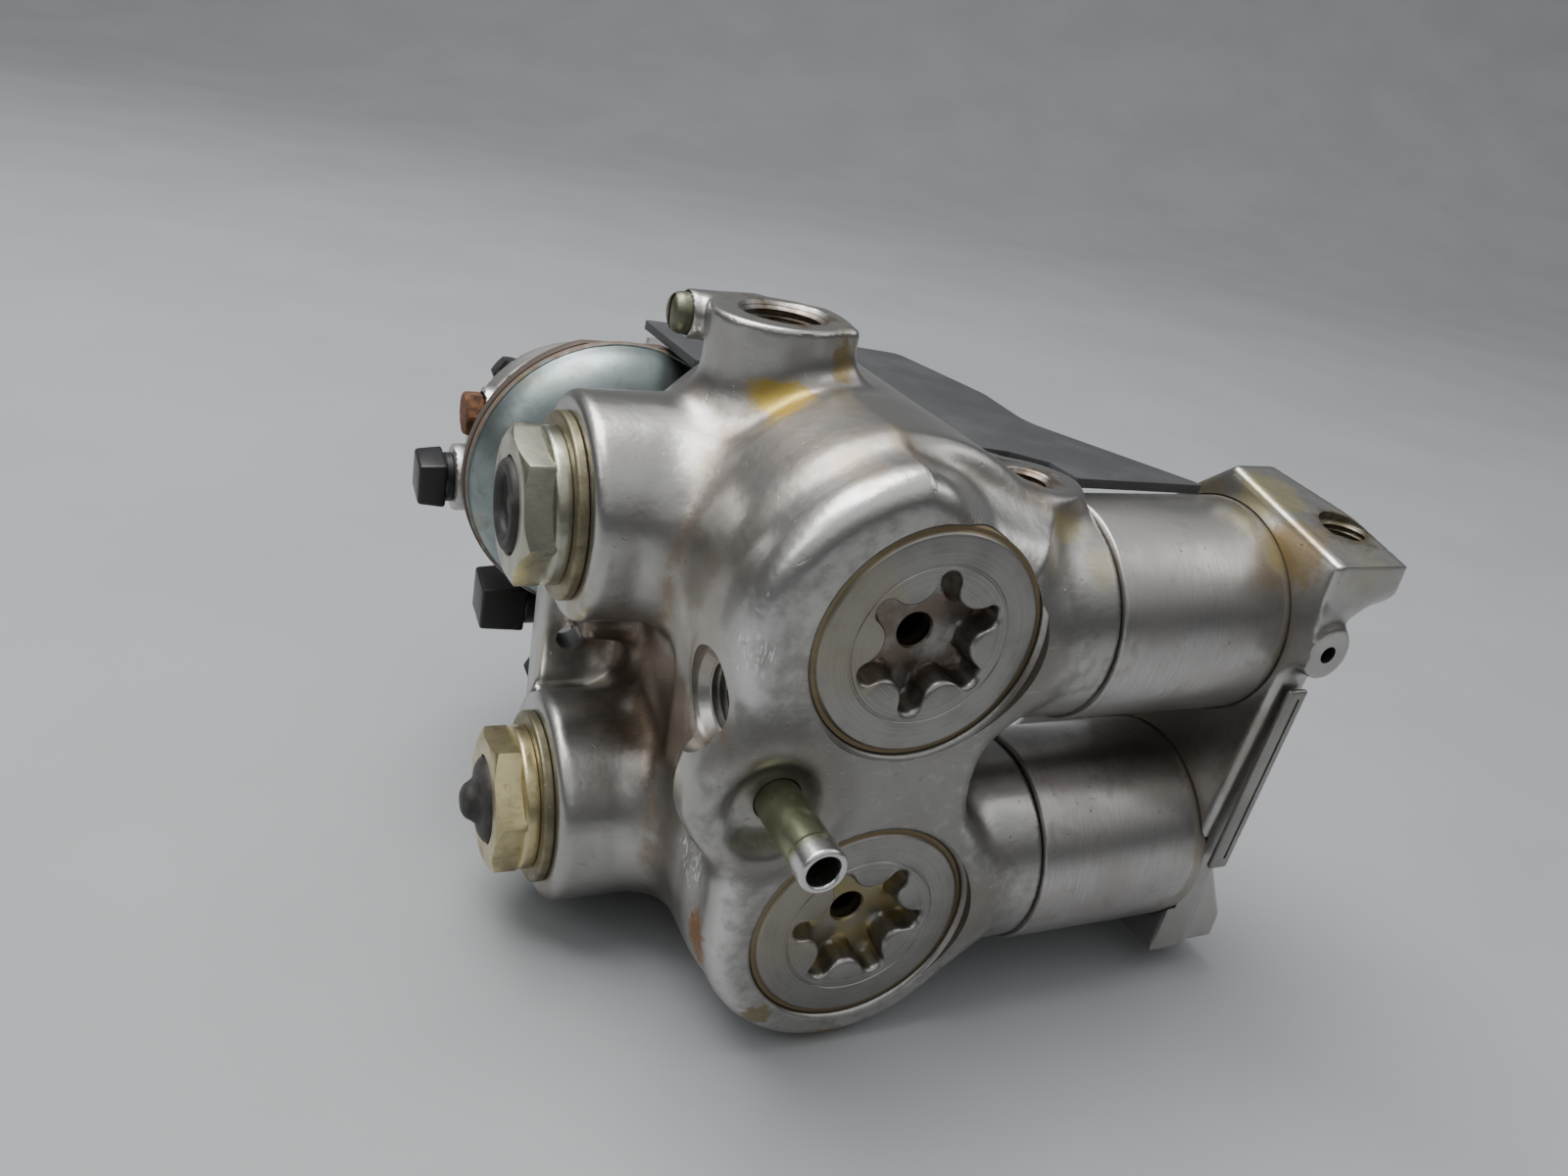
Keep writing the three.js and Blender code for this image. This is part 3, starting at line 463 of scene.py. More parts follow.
def lathe(name, axis, profile, at, material, segments=96, soft=0.0, closed=False, sharp=32):
    """A turned piece. profile lists (radius, distance along the axis), from axis to axis, or
    round a closed section."""
    if soft:
        profile = soften(profile, soft, closed=closed)
    angles = np.arange(segments) * 2 * math.pi / segments
    points, rings = [], []
    for r, d in profile:
        if r < 1e-6:
            rings.append([len(points)] * segments)
            points.append(placed(axis, [0, 0], d, at))
            continue
        circle = np.stack([r * np.cos(angles), r * np.sin(angles)], -1)
        rings.append(list(range(len(points), len(points) + segments)))
        points.extend(placed(axis, circle, d, at))
    faces = []
    pairs = list(zip(rings[:-1], rings[1:])) + ([(rings[-1], rings[0])] if closed else [])
    for low, high in pairs:
        for i in range(segments):
            j = (i + 1) % segments
            corners = [low[i], low[j], high[j], high[i]]
            face = [c for k, c in enumerate(corners) if c != corners[k - 1]]
            if len(set(face)) > 2:
                faces.append(face)
    return mesh_object(name, points, faces, material, sharp)


def extrusion(name, axis, outline, start, end, material, sharp=32):
    outline = np.asarray(outline, float)
    count = len(outline)
    points = np.concatenate([placed(axis, outline, d, (0, 0)) for d in (start, end)])
    faces = [list(range(count)), list(range(2 * count - 1, count - 1, -1))]
    faces += [[i, (i + 1) % count, count + (i + 1) % count, count + i] for i in range(count)]
    return mesh_object(name, points, faces, material, sharp)


def polygon(sides, radius, at, turn=0.0):
    angles = turn + np.arange(sides) * 2 * math.pi / sides
    return np.stack([at[0] + radius * np.cos(angles), at[1] + radius * np.sin(angles)], -1)


def bore_profile(radius, start, end, chamfer, thread=0.0):
    """Cutter for a threaded hole that runs from its mouth at start to a flat end."""
    side = 1 if end > start else -1
    profile = [(0, start - side * 2), (radius + chamfer + 2, start - side * 2)]
    profile += [(radius + chamfer, start), (radius, start + side * chamfer)]
    if thread:
        turns = int((abs(end - start) - chamfer) / thread)
        crest = radius - 0.55 * thread
        for i in range(turns):
            d = start + side * (chamfer + i * thread)
            for r, share in ((radius, 0.1), (crest, 0.5), (radius, 0.9)):
                profile.append((r, d + side * share * thread))
    profile += [(radius - 0.3, end), (0, end)]
    return profile


cut_material = bpy.data.materials.new("cutter")


def cutter(axis, profile, at, segments=72):
    return lathe("cutter", axis, profile, at, cut_material, segments)


def drill(axis, radius, start, end, at, segments=48):
    return cutter(axis, [(0, start), (radius, start), (radius, end), (0, end)], at, segments)


# ---------------------------------------------------------------- smooth cast shapes


def least(a, b, k=0.0):
    k = np.maximum(k, 1e-6)
    h = np.maximum(k - np.abs(a - b), 0) / k
    return np.minimum(a, b) - h * h * k / 4


def most(a, b, k=0.0):
    return -least(-a, -b, k)


def smooth_step(value, low, high):
    t = np.clip((value - low) / (high - low), 0, 1)
    return t * t * (3 - 2 * t)


def between(value, low, high):
    """Distance from the layer between two planes, less than 0 inside it."""
    return np.abs(value - (low + high) / 2) - (high - low) / 2


def round_bar(p, axis, radius, start, end, at, edge=0.0):
    others = [p[i] for i in range(3) if i != AXIS_INDEX[axis]]
    across = np.hypot(others[0] - at[0], others[1] - at[1]) - radius + edge
    along = between(p[AXIS_INDEX[axis]], start, end) + edge
    outside = np.hypot(np.maximum(across, 0), np.maximum(along, 0))
    return np.minimum(np.maximum(across, along), 0) + outside - edge


def slab(p, low, high, edge=0.0):
    q = [between(p[i], low[i], high[i]) + edge for i in range(3)]
    inside = np.minimum(np.maximum(np.maximum(q[0], q[1]), q[2]), 0)
    outside = np.sqrt(sum(np.maximum(c, 0) ** 2 for c in q))
    return inside + outside - edge


def outline_distance(u, v, outline):
    """Distance from a closed outline, less than 0 inside it."""
    best, inside = None, False
    for (u0, v0), (u1, v1) in zip(outline, list(outline[1:]) + [outline[0]]):
        du, dv = u1 - u0, v1 - v0
        t = np.clip(((u - u0) * du + (v - v0) * dv) / (du * du + dv * dv + 1e-12), 0, 1)
        distance = (u - u0 - t * du) ** 2 + (v - v0 - t * dv) ** 2
        best = distance if best is None else np.minimum(best, distance)
        crosses = (v0 > v) != (v1 > v)
        slope = du / dv if abs(dv) > 1e-9 else 0.0
        inside = inside ^ (crosses & (u < u0 + (v - v0) * slope))
    return np.sqrt(best) * np.where(inside, -1, 1)


def bezier(a, b, c, d, steps):
    t = np.linspace(0, 1, steps + 1)[1:, None]
    points = [np.array(q, float) for q in (a, b, c, d)]
    weights = [(1 - t) ** 3, 3 * t * (1 - t) ** 2, 3 * t * t * (1 - t), t ** 3]
    return [tuple(q) for q in sum(w * q for w, q in zip(weights, points))]


def arc(centre, radius, start, end, steps):
    angles = np.radians(np.linspace(start, end, steps + 1))
    return [(centre[0] + radius * math.cos(a), centre[1] + radius * math.sin(a)) for a in angles]


def surface(field, low, high, step):
    """Closed mesh of the surface where field is 0, one point for each grid cell it crosses."""
    low = np.array(low, float)
    counts = np.ceil((np.array(high) - low) / step).astype(int) + 1
    axes = [low[i] + step * np.arange(counts[i]) for i in range(3)]
    values = field(np.meshgrid(*axes, indexing="ij", sparse=True))
    values = np.broadcast_to(values, tuple(counts)).copy()
    inside = values < 0
    corners = [(i, j, k) for i in (0, 1) for j in (0, 1) for k in (0, 1)]

    def shifted(grid, corner):
        return grid[tuple(slice(c, c + n - 1) for c, n in zip(corner, counts))]

    tally = sum(shifted(inside, c).astype(np.int8) for c in corners)
    cells = np.argwhere((tally > 0) & (tally < 8))
    number = -np.ones(counts - 1, int)
    number[tuple(cells.T)] = np.arange(len(cells))
    total, hits = np.zeros((len(cells), 3)), np.zeros((len(cells), 1))
    for a in corners:
        for axis in range(3):
            if a[axis]:
                continue
            b = tuple(1 if i == axis else a[i] for i in range(3))
            fa, fb = values[tuple((cells + a).T)], values[tuple((cells + b).T)]
            crosses = (fa < 0) != (fb < 0)
            t = np.where(crosses, fa / np.where(crosses, fa - fb, 1), 0)
            point = np.array(a, float) + t[:, None] * (np.array(b) - np.array(a))
            total += np.where(crosses[:, None], point, 0)
            hits += crosses[:, None]
    points = low + step * (cells + total / hits)
    faces = []
    for axis in range(3):
        ahead = [slice(None)] * 3
        ahead[axis] = slice(1, None)
        behind = [slice(None)] * 3
        behind[axis] = slice(None, -1)
        change = inside[tuple(behind)] != inside[tuple(ahead)]
        for outward in (True, False):
            edges = np.argwhere(change & (inside[tuple(behind)] == outward))
            u, v = (axis + 1) % 3, (axis + 2) % 3
            quad = []
            for du, dv in ((1, 1), (0, 1), (0, 0), (1, 0)):
                cell = edges.copy()
                cell[:, u] -= du
                cell[:, v] -= dv
                quad.append(number[tuple(cell.T)])
            quad = np.stack(quad, 1)
            faces.append(quad if outward else quad[:, ::-1])
    for _ in range(3):
        points = settle(field, points, step)
    return points, np.concatenate(faces)


def settle(field, points, step):
    """Moves points onto the surface along its slope."""
    small = 0.05
    columns = [points[:, i] for i in range(3)]
    here = field(columns)
    slope = np.stack(
        [
            (field([c + small * (i == j) for j, c in enumerate(columns)]) - here) / small
            for i in range(3)
        ],
        1,
    )
    move = here[:, None] * slope / (np.sum(slope * slope, 1, keepdims=True) + 1e-9)
    length = np.linalg.norm(move, axis=1, keepdims=True)
    return points - move * np.minimum(1, 0.5 * step / (length + 1e-9))


def cast_piece(name, field, low, high, step, material, cuts):
    """A casting: field(points, k) with its machined cuts made afterwards, where k is 1 with
    fillets and 0 without. The hollow attribute is high in the fillets, and rim on outside
    corners."""
    points, faces = surface(lambda p: field(p, 1.0), low, high, step)
    piece = mesh_object(name, points, faces, material, 180)
    combine(piece, cuts, sharp=40)
    paint_hollows(piece, field)
    return piece


def paint_hollows(piece, field):
    """Paints the hollow and rim attributes, in place of any there are."""
    mesh = piece.data
    co = np.zeros(len(mesh.vertices) * 3)
    mesh.vertices.foreach_get("co", co)
    points = co.reshape(-1, 3) * 1000 - OFFSET
    columns = [points[:, i] for i in range(3)]
    soft, hard = field(columns, 1.0), field(columns, 0.0)
    fill = np.clip((hard - soft - 0.3) / 1.9, 0, 1)
    worn = np.clip((soft - hard) / 1.2, 0, 1)
    for label, values in (("hollow", fill), ("rim", worn)):
        if label in mesh.attributes:
            mesh.attributes.remove(mesh.attributes[label])
        layer = mesh.attributes.new(label, "FLOAT", "POINT")
        layer.data.foreach_set("value", values.astype(np.float32))


def body_outline():
    """The front face: two lobes with a waist on the right and a ridge on top."""
    outline = [(-5, 31.2)]
    outline += arc((-1, -2), 34.5, 99, 180, 20)
    outline += bezier(outline[-1], (-34, -12), (-31, -24), (-31, LOWER_PLUG_Z), 10)
    outline += arc((0, LOWER_PLUG_Z), 31, 183, 360, 36)
    outline += bezier((31, LOWER_PLUG_Z), (31, -52), (19.5, -46), (19.5, -32), 8)
    outline += bezier((19.5, -32), (19.5, -18), (31, -14), (31, 0), 8)
    return outline + [(27, 19)]


BODY_OUTLINE = body_outline()
FLANGE_OUTLINE = [(-49, -84), (44, -84), (44, 10), (20, 20), (-20, 14), (-49, -22)]


def body_field(p, k):
    x, y, z = p
    front = outline_distance(x, z, BODY_OUTLINE)
    # A shallow channel runs behind the upper left of the front rim.
    upper_left = smooth_step(z, -12, 4) * smooth_step(-x, -16, -4)
    front = front + 0.9 * upper_left * np.exp(-(((y - 14) / 3.2) ** 2))
    right = smooth_step(x, -3, 12) * smooth_step(z, -6, 10)
    whole = most(front, -y, (7 + 12 * right) * k)
    whole = most(whole, y - 36, 4 * k)
    lobes = least(
        round_bar(p, "y", 33, 14, 80, (0, UPPER_PLUG_Z), 3),
        round_bar(p, "y", 29, 14, 80, (0, LOWER_PLUG_Z), 3),
        6 * k,
    )
    whole = least(whole, lobes, 7 * k)
    whole = least(whole, slab(p, (-30, 20, -66), (22, 80, 0), 3), 6 * k)
    for z0 in TUBE_ZS:
        boss = round_bar(p, "x", TUBE_BOSS_R, 0, TUBE_BOSS_END, (TUBE_Y, z0), 1.0)
        whole = least(whole, boss, 7 * k)
    whole = least(whole, round_bar(p, "z", 11.5, 0, GAUGE_TOP_Z, GAUGE, 0.9), 6 * k)
    for z0 in ADAPTER_ZS:
        boss = round_bar(p, "x", ADAPTER_BOSS_R, ADAPTER_BOSS_X, 0, (ADAPTER_Y, z0), 2.6)
        whole = least(whole, boss, 9 * k)
    port = round_bar(p, "z", PORT_BOSS_R, 0, PORT_TOP_Z, (PORT_X - 0.8, ADAPTER_Y), 1.3)
    corner = slab(p, (PORT_X, 46, 0), (-0.4, 63, PORT_TOP_Z), 1.8)
    port = least(port, corner, 2.5 * k)
    port = least(port, round_bar(p, "x", 5, -28, PORT_X, BLEED, 0.8), 3 * k)
    whole = least(whole, port, 7 * k)
    whole = least(whole, round_bar(p, "x", 10, -33.6, 0, SIDE_PORT, 1), 4 * k)
    nipple = round_bar(p, "y", 14.5, 0, 12, (-26, -30.5), 4)
    whole = least(whole, nipple, 8 * k)
    pocket = round_bar(p, "y", 7.6, -12, 2.6, (-24.4, -31.6), 2.4)
    whole = most(whole, -pocket, 7 * k)
    flange = outline_distance(x, z, FLANGE_OUTLINE)
    flange = most(flange, between(y, FLANGE_FRONT_Y, FLANGE_BACK_Y), 2 * k)
    whole = least(whole, flange, 6 * k)
    whole = least(whole, round_bar(p, "x", 5, -42, -20, (70, -30), 2.5), 6 * k)
    whole = most(whole, z - PORT_TOP_Z, 1.2 * k)
    return most(whole, BASE_Z - z)


BODY_STAINS_AND_SHADE = [
    # place, radius, colour, strength, stretch
    ((-18, 41, 31), 7, (0.46, 0.33, 0.06), 0.9, (1.4, 1, 0.55)),
    ((-5, 48, 35), 7, (0.3, 0.21, 0.07), 0.8, (0.7, 1, 1.4)),
    ((-16, 9, 29), 5, (0.38, 0.27, 0.17), 0.4, (1, 1.6, 1)),
    ((-6, 12, 32), 6, (0.36, 0.27, 0.18), 0.4, (0.6, 1.6, 1)),
    ((-20, 54, 12), 7, (0.4, 0.3, 0.22), 0.35, (1, 1, 1.5)),
    ((30, 14, 17), 6, (0.42, 0.37, 0.17), 0.55, (1.5, 1, 0.7)),
    ((38, 8, 10), 6, (0.4, 0.35, 0.18), 0.45, (0.8, 1, 1.2)),
    # Painted shade: dark brown on the left wall between the adapter bosses.
    ((-31, 40, -34), 23, (0.13, 0.085, 0.05), 0.85, (1, 1.3, 0.75)),
    ((-33, 66, -32), 18, (0.12, 0.08, 0.05), 0.75, (1, 1, 1)),
    ((-29, 9, -68), 5, (0.36, 0.17, 0.05), 0.9, (1, 1, 1.9)),
    ((-18.7, 1, -82.7), 4, (0.26, 0.2, 0.07), 0.8, (1, 1, 1)),
    ((-3, 2, -93.5), 6, (0.34, 0.25, 0.08), 0.85, (1.7, 1, 0.8)),
    ((-30, 19, -3), 12, (0.4, 0.34, 0.26), 0.4, (1, 1, 1.5)),
    # Painted shade: dark brown centred inside the outlet port and gauge bores.
    ((-13, 56, 40), 15, (0.12, 0.08, 0.05), 0.9, (0.85, 0.85, 1)),
    ((30.5, 26.5, 19), 10, (0.12, 0.08, 0.05), 0.9, (0.95, 0.95, 1)),
    # Painted shade: a wide grey darkening of the front face between the lobes.
    ((0, -5, -32), 10, (0.19, 0.182, 0.168), 0.6, (6, 1, 8)),
    ((-53, 44, -6), 9, (0.3, 0.24, 0.13), 0.5, (1, 1, 1.6)),
    ((-53, 44, -72), 9, (0.26, 0.2, 0.12), 0.5, (1, 1, 1.6)),
    # Painted shade: darker round the nipple pocket.
    ((-24, 1, -30), 12, (0.25, 0.235, 0.19), 0.5, (1, 1, 1)),
    ((42, 12, -76), 8, (0.3, 0.27, 0.13), 0.45, (1, 1, 0.7)),
]
BODY_SCRAPES = [((-32.5, 2.5, -0.8), 5), ((-32.5, 15, -54), 7)]


def build_valve_body():
    cuts = []
    for z in (UPPER_PLUG_Z, LOWER_PLUG_Z):
        profile = [
            (0, -3), (PLUG_BORE_R + 0.9, -3), (PLUG_BORE_R + 0.9, -0.1), (PLUG_BORE_R + 0.6, 0.1),
            (PLUG_BORE_R + 0.2, 0.35), (PLUG_BORE_R, 0.8), (PLUG_BORE_R, 14), (19, 14), (19, 34),
            (0, 34),
        ]
        cuts.append(cutter("y", profile, (0, z), 128))
    for z in TUBE_ZS:
        cuts.append(drill("x", 12, 10, 44, (TUBE_Y, z)))
    for z in ADAPTER_ZS:
        cuts.append(drill("x", 12, -60, -22, (ADAPTER_Y, z), 64))
    at = (PORT_X, ADAPTER_Y)
    cuts.append(cutter("z", bore_profile(PORT_BORE_R, PORT_TOP_Z, 12, 0.9, 1.5), at))
    cuts.append(cutter("z", bore_profile(5.2, GAUGE_TOP_Z, 11, 0.4, 1.25), GAUGE))
    cuts.append(drill("z", 8.2, GAUGE_TOP_Z, GAUGE_TOP_Z + 12, GAUGE))
    seat = [
        (0, -60), (9.4, -60), (9.4, SIDE_PORT_X + 0.3), (8.4, SIDE_PORT_X + 0.3),
        (6.9, SIDE_PORT_X + 2), (0, SIDE_PORT_X + 2),
    ]
    cuts.append(cutter("x", seat, SIDE_PORT))
    cuts.append(cutter("x", bore_profile(6.9, SIDE_PORT_X + 1, -24, 0.3, 1.5), SIDE_PORT))
    cuts.append(drill("x", 4.4, -34, -22, BLEED))
    cuts.append(drill("y", 4.7, -2, 16, NIPPLE_AT))
    cuts.append(drill("y", 3.2, 70, 90, (-42, -38)))
    for place in THROUGH_BOLTS:
        cuts.append(drill("y", 3.3, 76.5, 90, place, 32))
    look = cast_look("cast body", BODY_STAINS_AND_SHADE, scrapes=BODY_SCRAPES)
    piece = cast_piece(
        "valve_casting", body_field, (-55, -2, -96), (46, 86, 45.4), 0.8, look, cuts
    )
    finish_piece(piece, "valve_body")


# ---------------------------------------------------------------- star plugs


def star_radius(angle, first):
    """Outline of the star socket: six lobes with round ends, and round fins between them. tip
    and fin are their radii, and the reaches are the distances of their centres."""
    tip, tip_reach, fin, fin_reach = 2.4, 11.7, 4.21, 13.21
    tip_share = 0.204  # how far to each side of a lobe's middle its round end goes, in radians
    span = math.pi / 3
    side = abs((angle - first + span / 2) % span - span / 2)
    if side < tip_share:
        return tip_reach * math.cos(side) + math.sqrt(
            max(0, tip * tip - (tip_reach * math.sin(side)) ** 2))
    from_fin = span / 2 - side
    return fin_reach * math.cos(from_fin) - math.sqrt(
        max(0, fin * fin - (fin_reach * math.sin(from_fin)) ** 2))


def build_star_plug(side, z, first, stain, amount):
    segments = 240
    angles = np.arange(segments) * 2 * math.pi / segments
    star = np.array([star_radius(a, first) for a in angles])
    floor, hole, hole_end, back = 6.2, 3.4, 15.0, 19.0
    rings = [(star * f, floor) for f in (0.55, 0.75)]
    rings += [(star - 1.5, floor - 0.1), (star - 0.9, floor - 0.45), (star - 0.45, floor - 1.3)]
    rings += [(star - 0.1, 1.7), (star + 0.05, 1.15), (star + 0.3, 0.72), (star + 0.62, 0.44)]
    rings += [(star + 0.95, 0.32)]
    flats = [
        (15.3, 0.3), (15.45, 0.5), (15.75, 0.5), (15.9, 0.3), (20.8, 0.3), (21.4, 0.4),
        (21.75, 0.7), (22.0, 0.95), (22.8, 1.0), (22.8, 12), (16.5, 12),
        (16.5, 15.6), (18.5, 15.6), (18.5, back),
    ]
    rings += [(np.full(segments, r), d) for r, d in flats]
    points = [placed("y", [0, 0], hole_end, (0, z))]
    drilled = [(hole, hole_end), (hole, floor + 0.5), (hole + 0.35, floor)]
    rings = [(np.full(segments, r), d) for r, d in drilled] + rings
    for radius, depth in rings:
        across = np.stack([radius * np.cos(angles), radius * np.sin(angles)], -1)
        points.extend(placed("y", across, depth, (0, z)))
    points.append(placed("y", [0, 0], back, (0, z)))
    last = len(points) - 1
    faces = []
    for ring in range(len(rings) - 1):
        a, b = 1 + ring * segments, 1 + (ring + 1) * segments
        for i in range(segments):
            j = (i + 1) % segments
            faces.append([a + i, a + j, b + j, b + i])
    outer = 1 + (len(rings) - 1) * segments
    for i in range(segments):
        j = (i + 1) % segments
        faces.append([0, 1 + j, 1 + i])
        faces.append([last, outer + i, outer + j])
    look = Look(f"{side} plug steel", (0.3, 0.291, 0.278), 0.34)
    look.layer(look.patches(0.4, 0.7, 7, 4), (0.25, 0.242, 0.23), 0.4)
    distance = look.radial("y", (0, z))
    inputs = {"W": distance, "Scale": 3.0, "Detail": 2.0}
    fine = look.node("ShaderNodeTexNoise", {"noise_dimensions": "1D"}, inputs).outputs[0]
    look.layer(look.ramp(fine, 0.45, 0.7), (0.38, 0.37, 0.35), 0.32, amount=0.5)
    depth = look.math("SUBTRACT", look.component("y"), float(OFFSET[1]))
    socket = look.math("MULTIPLY", look.ramp(depth, 1.2, 4.5), look.ramp(distance, 15.2, 14.0))
    patch = look.patches(0.3, 0.6, 5, 4)
    look.layer(look.math("MULTIPLY", socket, patch), stain, 0.32, 0.85, amount=amount)
    # Painted shade: near black deep down in the drilled hole.
    look.layer(look.ramp(depth, 7.2, 10), (0.02, 0.016, 0.012), 0.6, 0.3)
    groove = look.math("MULTIPLY", look.ramp(distance, 21.3, 21.9), look.ramp(depth, 0.45, 0.8))
    look.layer(groove, (0.2, 0.155, 0.09), 0.5, 0.7)
    film = look.blob((-15, 0, z + 4), 15, 0.5, 5, (0.8, 1, 1.2))
    look.layer(film, (0.33, 0.29, 0.19), 0.4, 0.8, amount=0.4)
    look.raise_by(fine, 0.02)
    look.raise_by(look.noise(1.0, 3), 0.02)
    piece = mesh_object(f"{side}_plug_steel", points, faces, look.finish(), 30)
    finish_piece(piece, f"{side}_star_plug")


# ---------------------------------------------------------------- tubes


def build_tubes():
    for side, z, cloud_size in (("upper", UPPER_TUBE_Z, 13.6), ("lower", LOWER_TUBE_Z, 15.2)):
        at = (TUBE_Y, z)
        look = Look(f"{side} tube steel", (0.45, 0.437, 0.422), 0.34)
        rings = look.noise(0.35, 2, stretch=(1, 14, 14))
        look.layer(look.ramp(rings, 0.35, 0.75), (0.53, 0.515, 0.5), 0.29)
        cloud = look.patches(0.42, 0.68, cloud_size, 3)
        look.layer(cloud, (0.41, 0.375, 0.355), 0.4, amount=0.7)
        rosy = look.patches(0.55, 0.72, 7, 4, distortion=0.5)
        look.layer(rosy, (0.33, 0.26, 0.225), 0.43, amount=0.5)
        end = look.component("x")
        close = look.ramp(end, float(OFFSET[0] + 79.5), float(OFFSET[0] + 84.5))
        ragged = look.ramp(look.math("ADD", close, look.noise(5, 4)), 1.05, 1.3)
        look.layer(ragged, (0.22, 0.15, 0.06), 0.5, 0.35, amount=0.4)
        if side == "upper":
            drips = look.blob((83, 6, 17), 9, 0.55, 4, (0.6, 1, 1))
            look.layer(drips, (0.3, 0.24, 0.1), 0.5, 0.5, amount=0.8)
        look.layer(look.patches(0.69, 0.75, 1.3, 2), (0.12, 0.09, 0.07), 0.5, amount=0.5)
        look.raise_by(rings, 0.014)
        look.raise_by(look.noise(1.5, 3), 0.012)
        profile = [
            (TUBE_BORE_R, TUBE_START_X), (TUBE_R - 0.4, TUBE_START_X), (TUBE_R, TUBE_START_X + 0.4),
            (TUBE_R, TUBE_END_X), (TUBE_BORE_R, TUBE_END_X),
        ]
        piece = lathe(f"{side}_tube_steel", "x", profile, at, look.finish(), 160, 0.35, True)
        finish_piece(piece, f"{side}_tube")


# ---------------------------------------------------------------- adapters and fittings


def build_adapters():
    rows = [
        # side, height, turn of the hexagon, slot, colour, dirt
        (
            "upper", UPPER_ADAPTER_Z, math.pi - 0.862, "olive_zinc", (0.46, 0.45, 0.36),
            (0.2, 0.18, 0.08),
        ),
        (
            "lower", LOWER_ADAPTER_Z, math.pi - 0.192, "brass", (0.62, 0.54, 0.31),
            (0.25, 0.19, 0.07),
        ),
    ]
    for side, z, turn, slot, base, dirt in rows:
        at = (ADAPTER_Y, z)
        nut_look = plated_look(f"{side} nut", base, 0.3, dirt, 0.55)
        nut = extrusion("nut", "x", polygon(6, 15.6, at, turn), -63, -57, nut_look)
        dome = [
            (0, -63), (13.1, -63), (13.6, -62.95), (16.2, -61.4), (16.2, -57.8), (14.6, -56.4),
            (0, -56.4),
        ]
        combine(nut, [cutter("x", dome, at, 128)], "INTERSECT")
        bevelled(nut, 0.22)
        collar = cutter("x", soften([
            (0, -57.6), (13.8, -57.6), (15, -57.2), (15.4, -56.6), (15.4, -54.27), (11.6, -54.27),
            (11.6, -30), (0, -30),
        ], 0.3), at, 128)
        combine(nut, [collar], "UNION")
        mouth = [(0, -66), (9.9, -66), (9.9, -63.1), (9.4, -62.6), (9.4, -60), (0, -60)]
        mouth = soften(mouth, 0.1)
        combine(nut, [cutter("x", mouth, at, 96), drill("x", 5, -61, -29, at)])
        nut.name = f"{side}_nut"
        finish_piece(nut, f"{side}_hex_adapter")

        washer_look = plated_look(
            f"{side} washer", (0.27, 0.243, 0.16), 0.42, (0.13, 0.1, 0.055), 0.7, 4
        )
        profile = [
            (12.1, -54.25), (17.9, -54.25), (18.4, -53.8), (18.4, -52.3), (18.2, -52.05),
            (12.1, -52.05),
        ]
        washer = lathe(f"{side}_washer", "x", profile, at, washer_look, 128, 0.3, True)
        finish_piece(washer, f"{side}_sealing_washer")

    rubber = rubber_look("cap rubber")
    upper = [
        (0, -62.9), (1.6, -62.9), (1.9, -62.3), (5.6, -62.3), (6.0, -63.4), (7.2, -64.3),
        (8.5, -64.1), (9.2, -63.0), (9.2, -60.5), (0, -60.5),
    ]
    lower = [
        (0, -67.9), (2.2, -67.8), (3.6, -67.0), (4.4, -65.6), (5.4, -64.6), (7.8, -64.1),
        (8.9, -63.4), (9.2, -62.4), (9.2, -60.5), (0, -60.5),
    ]
    for side, z, profile in (("upper", UPPER_ADAPTER_Z, upper), ("lower", LOWER_ADAPTER_Z, lower)):
        cap = lathe(f"{side}_cap_rubber", "x", profile, (ADAPTER_Y, z), rubber, 96, 0.5)
        finish_piece(cap, f"{side}_dust_cap")


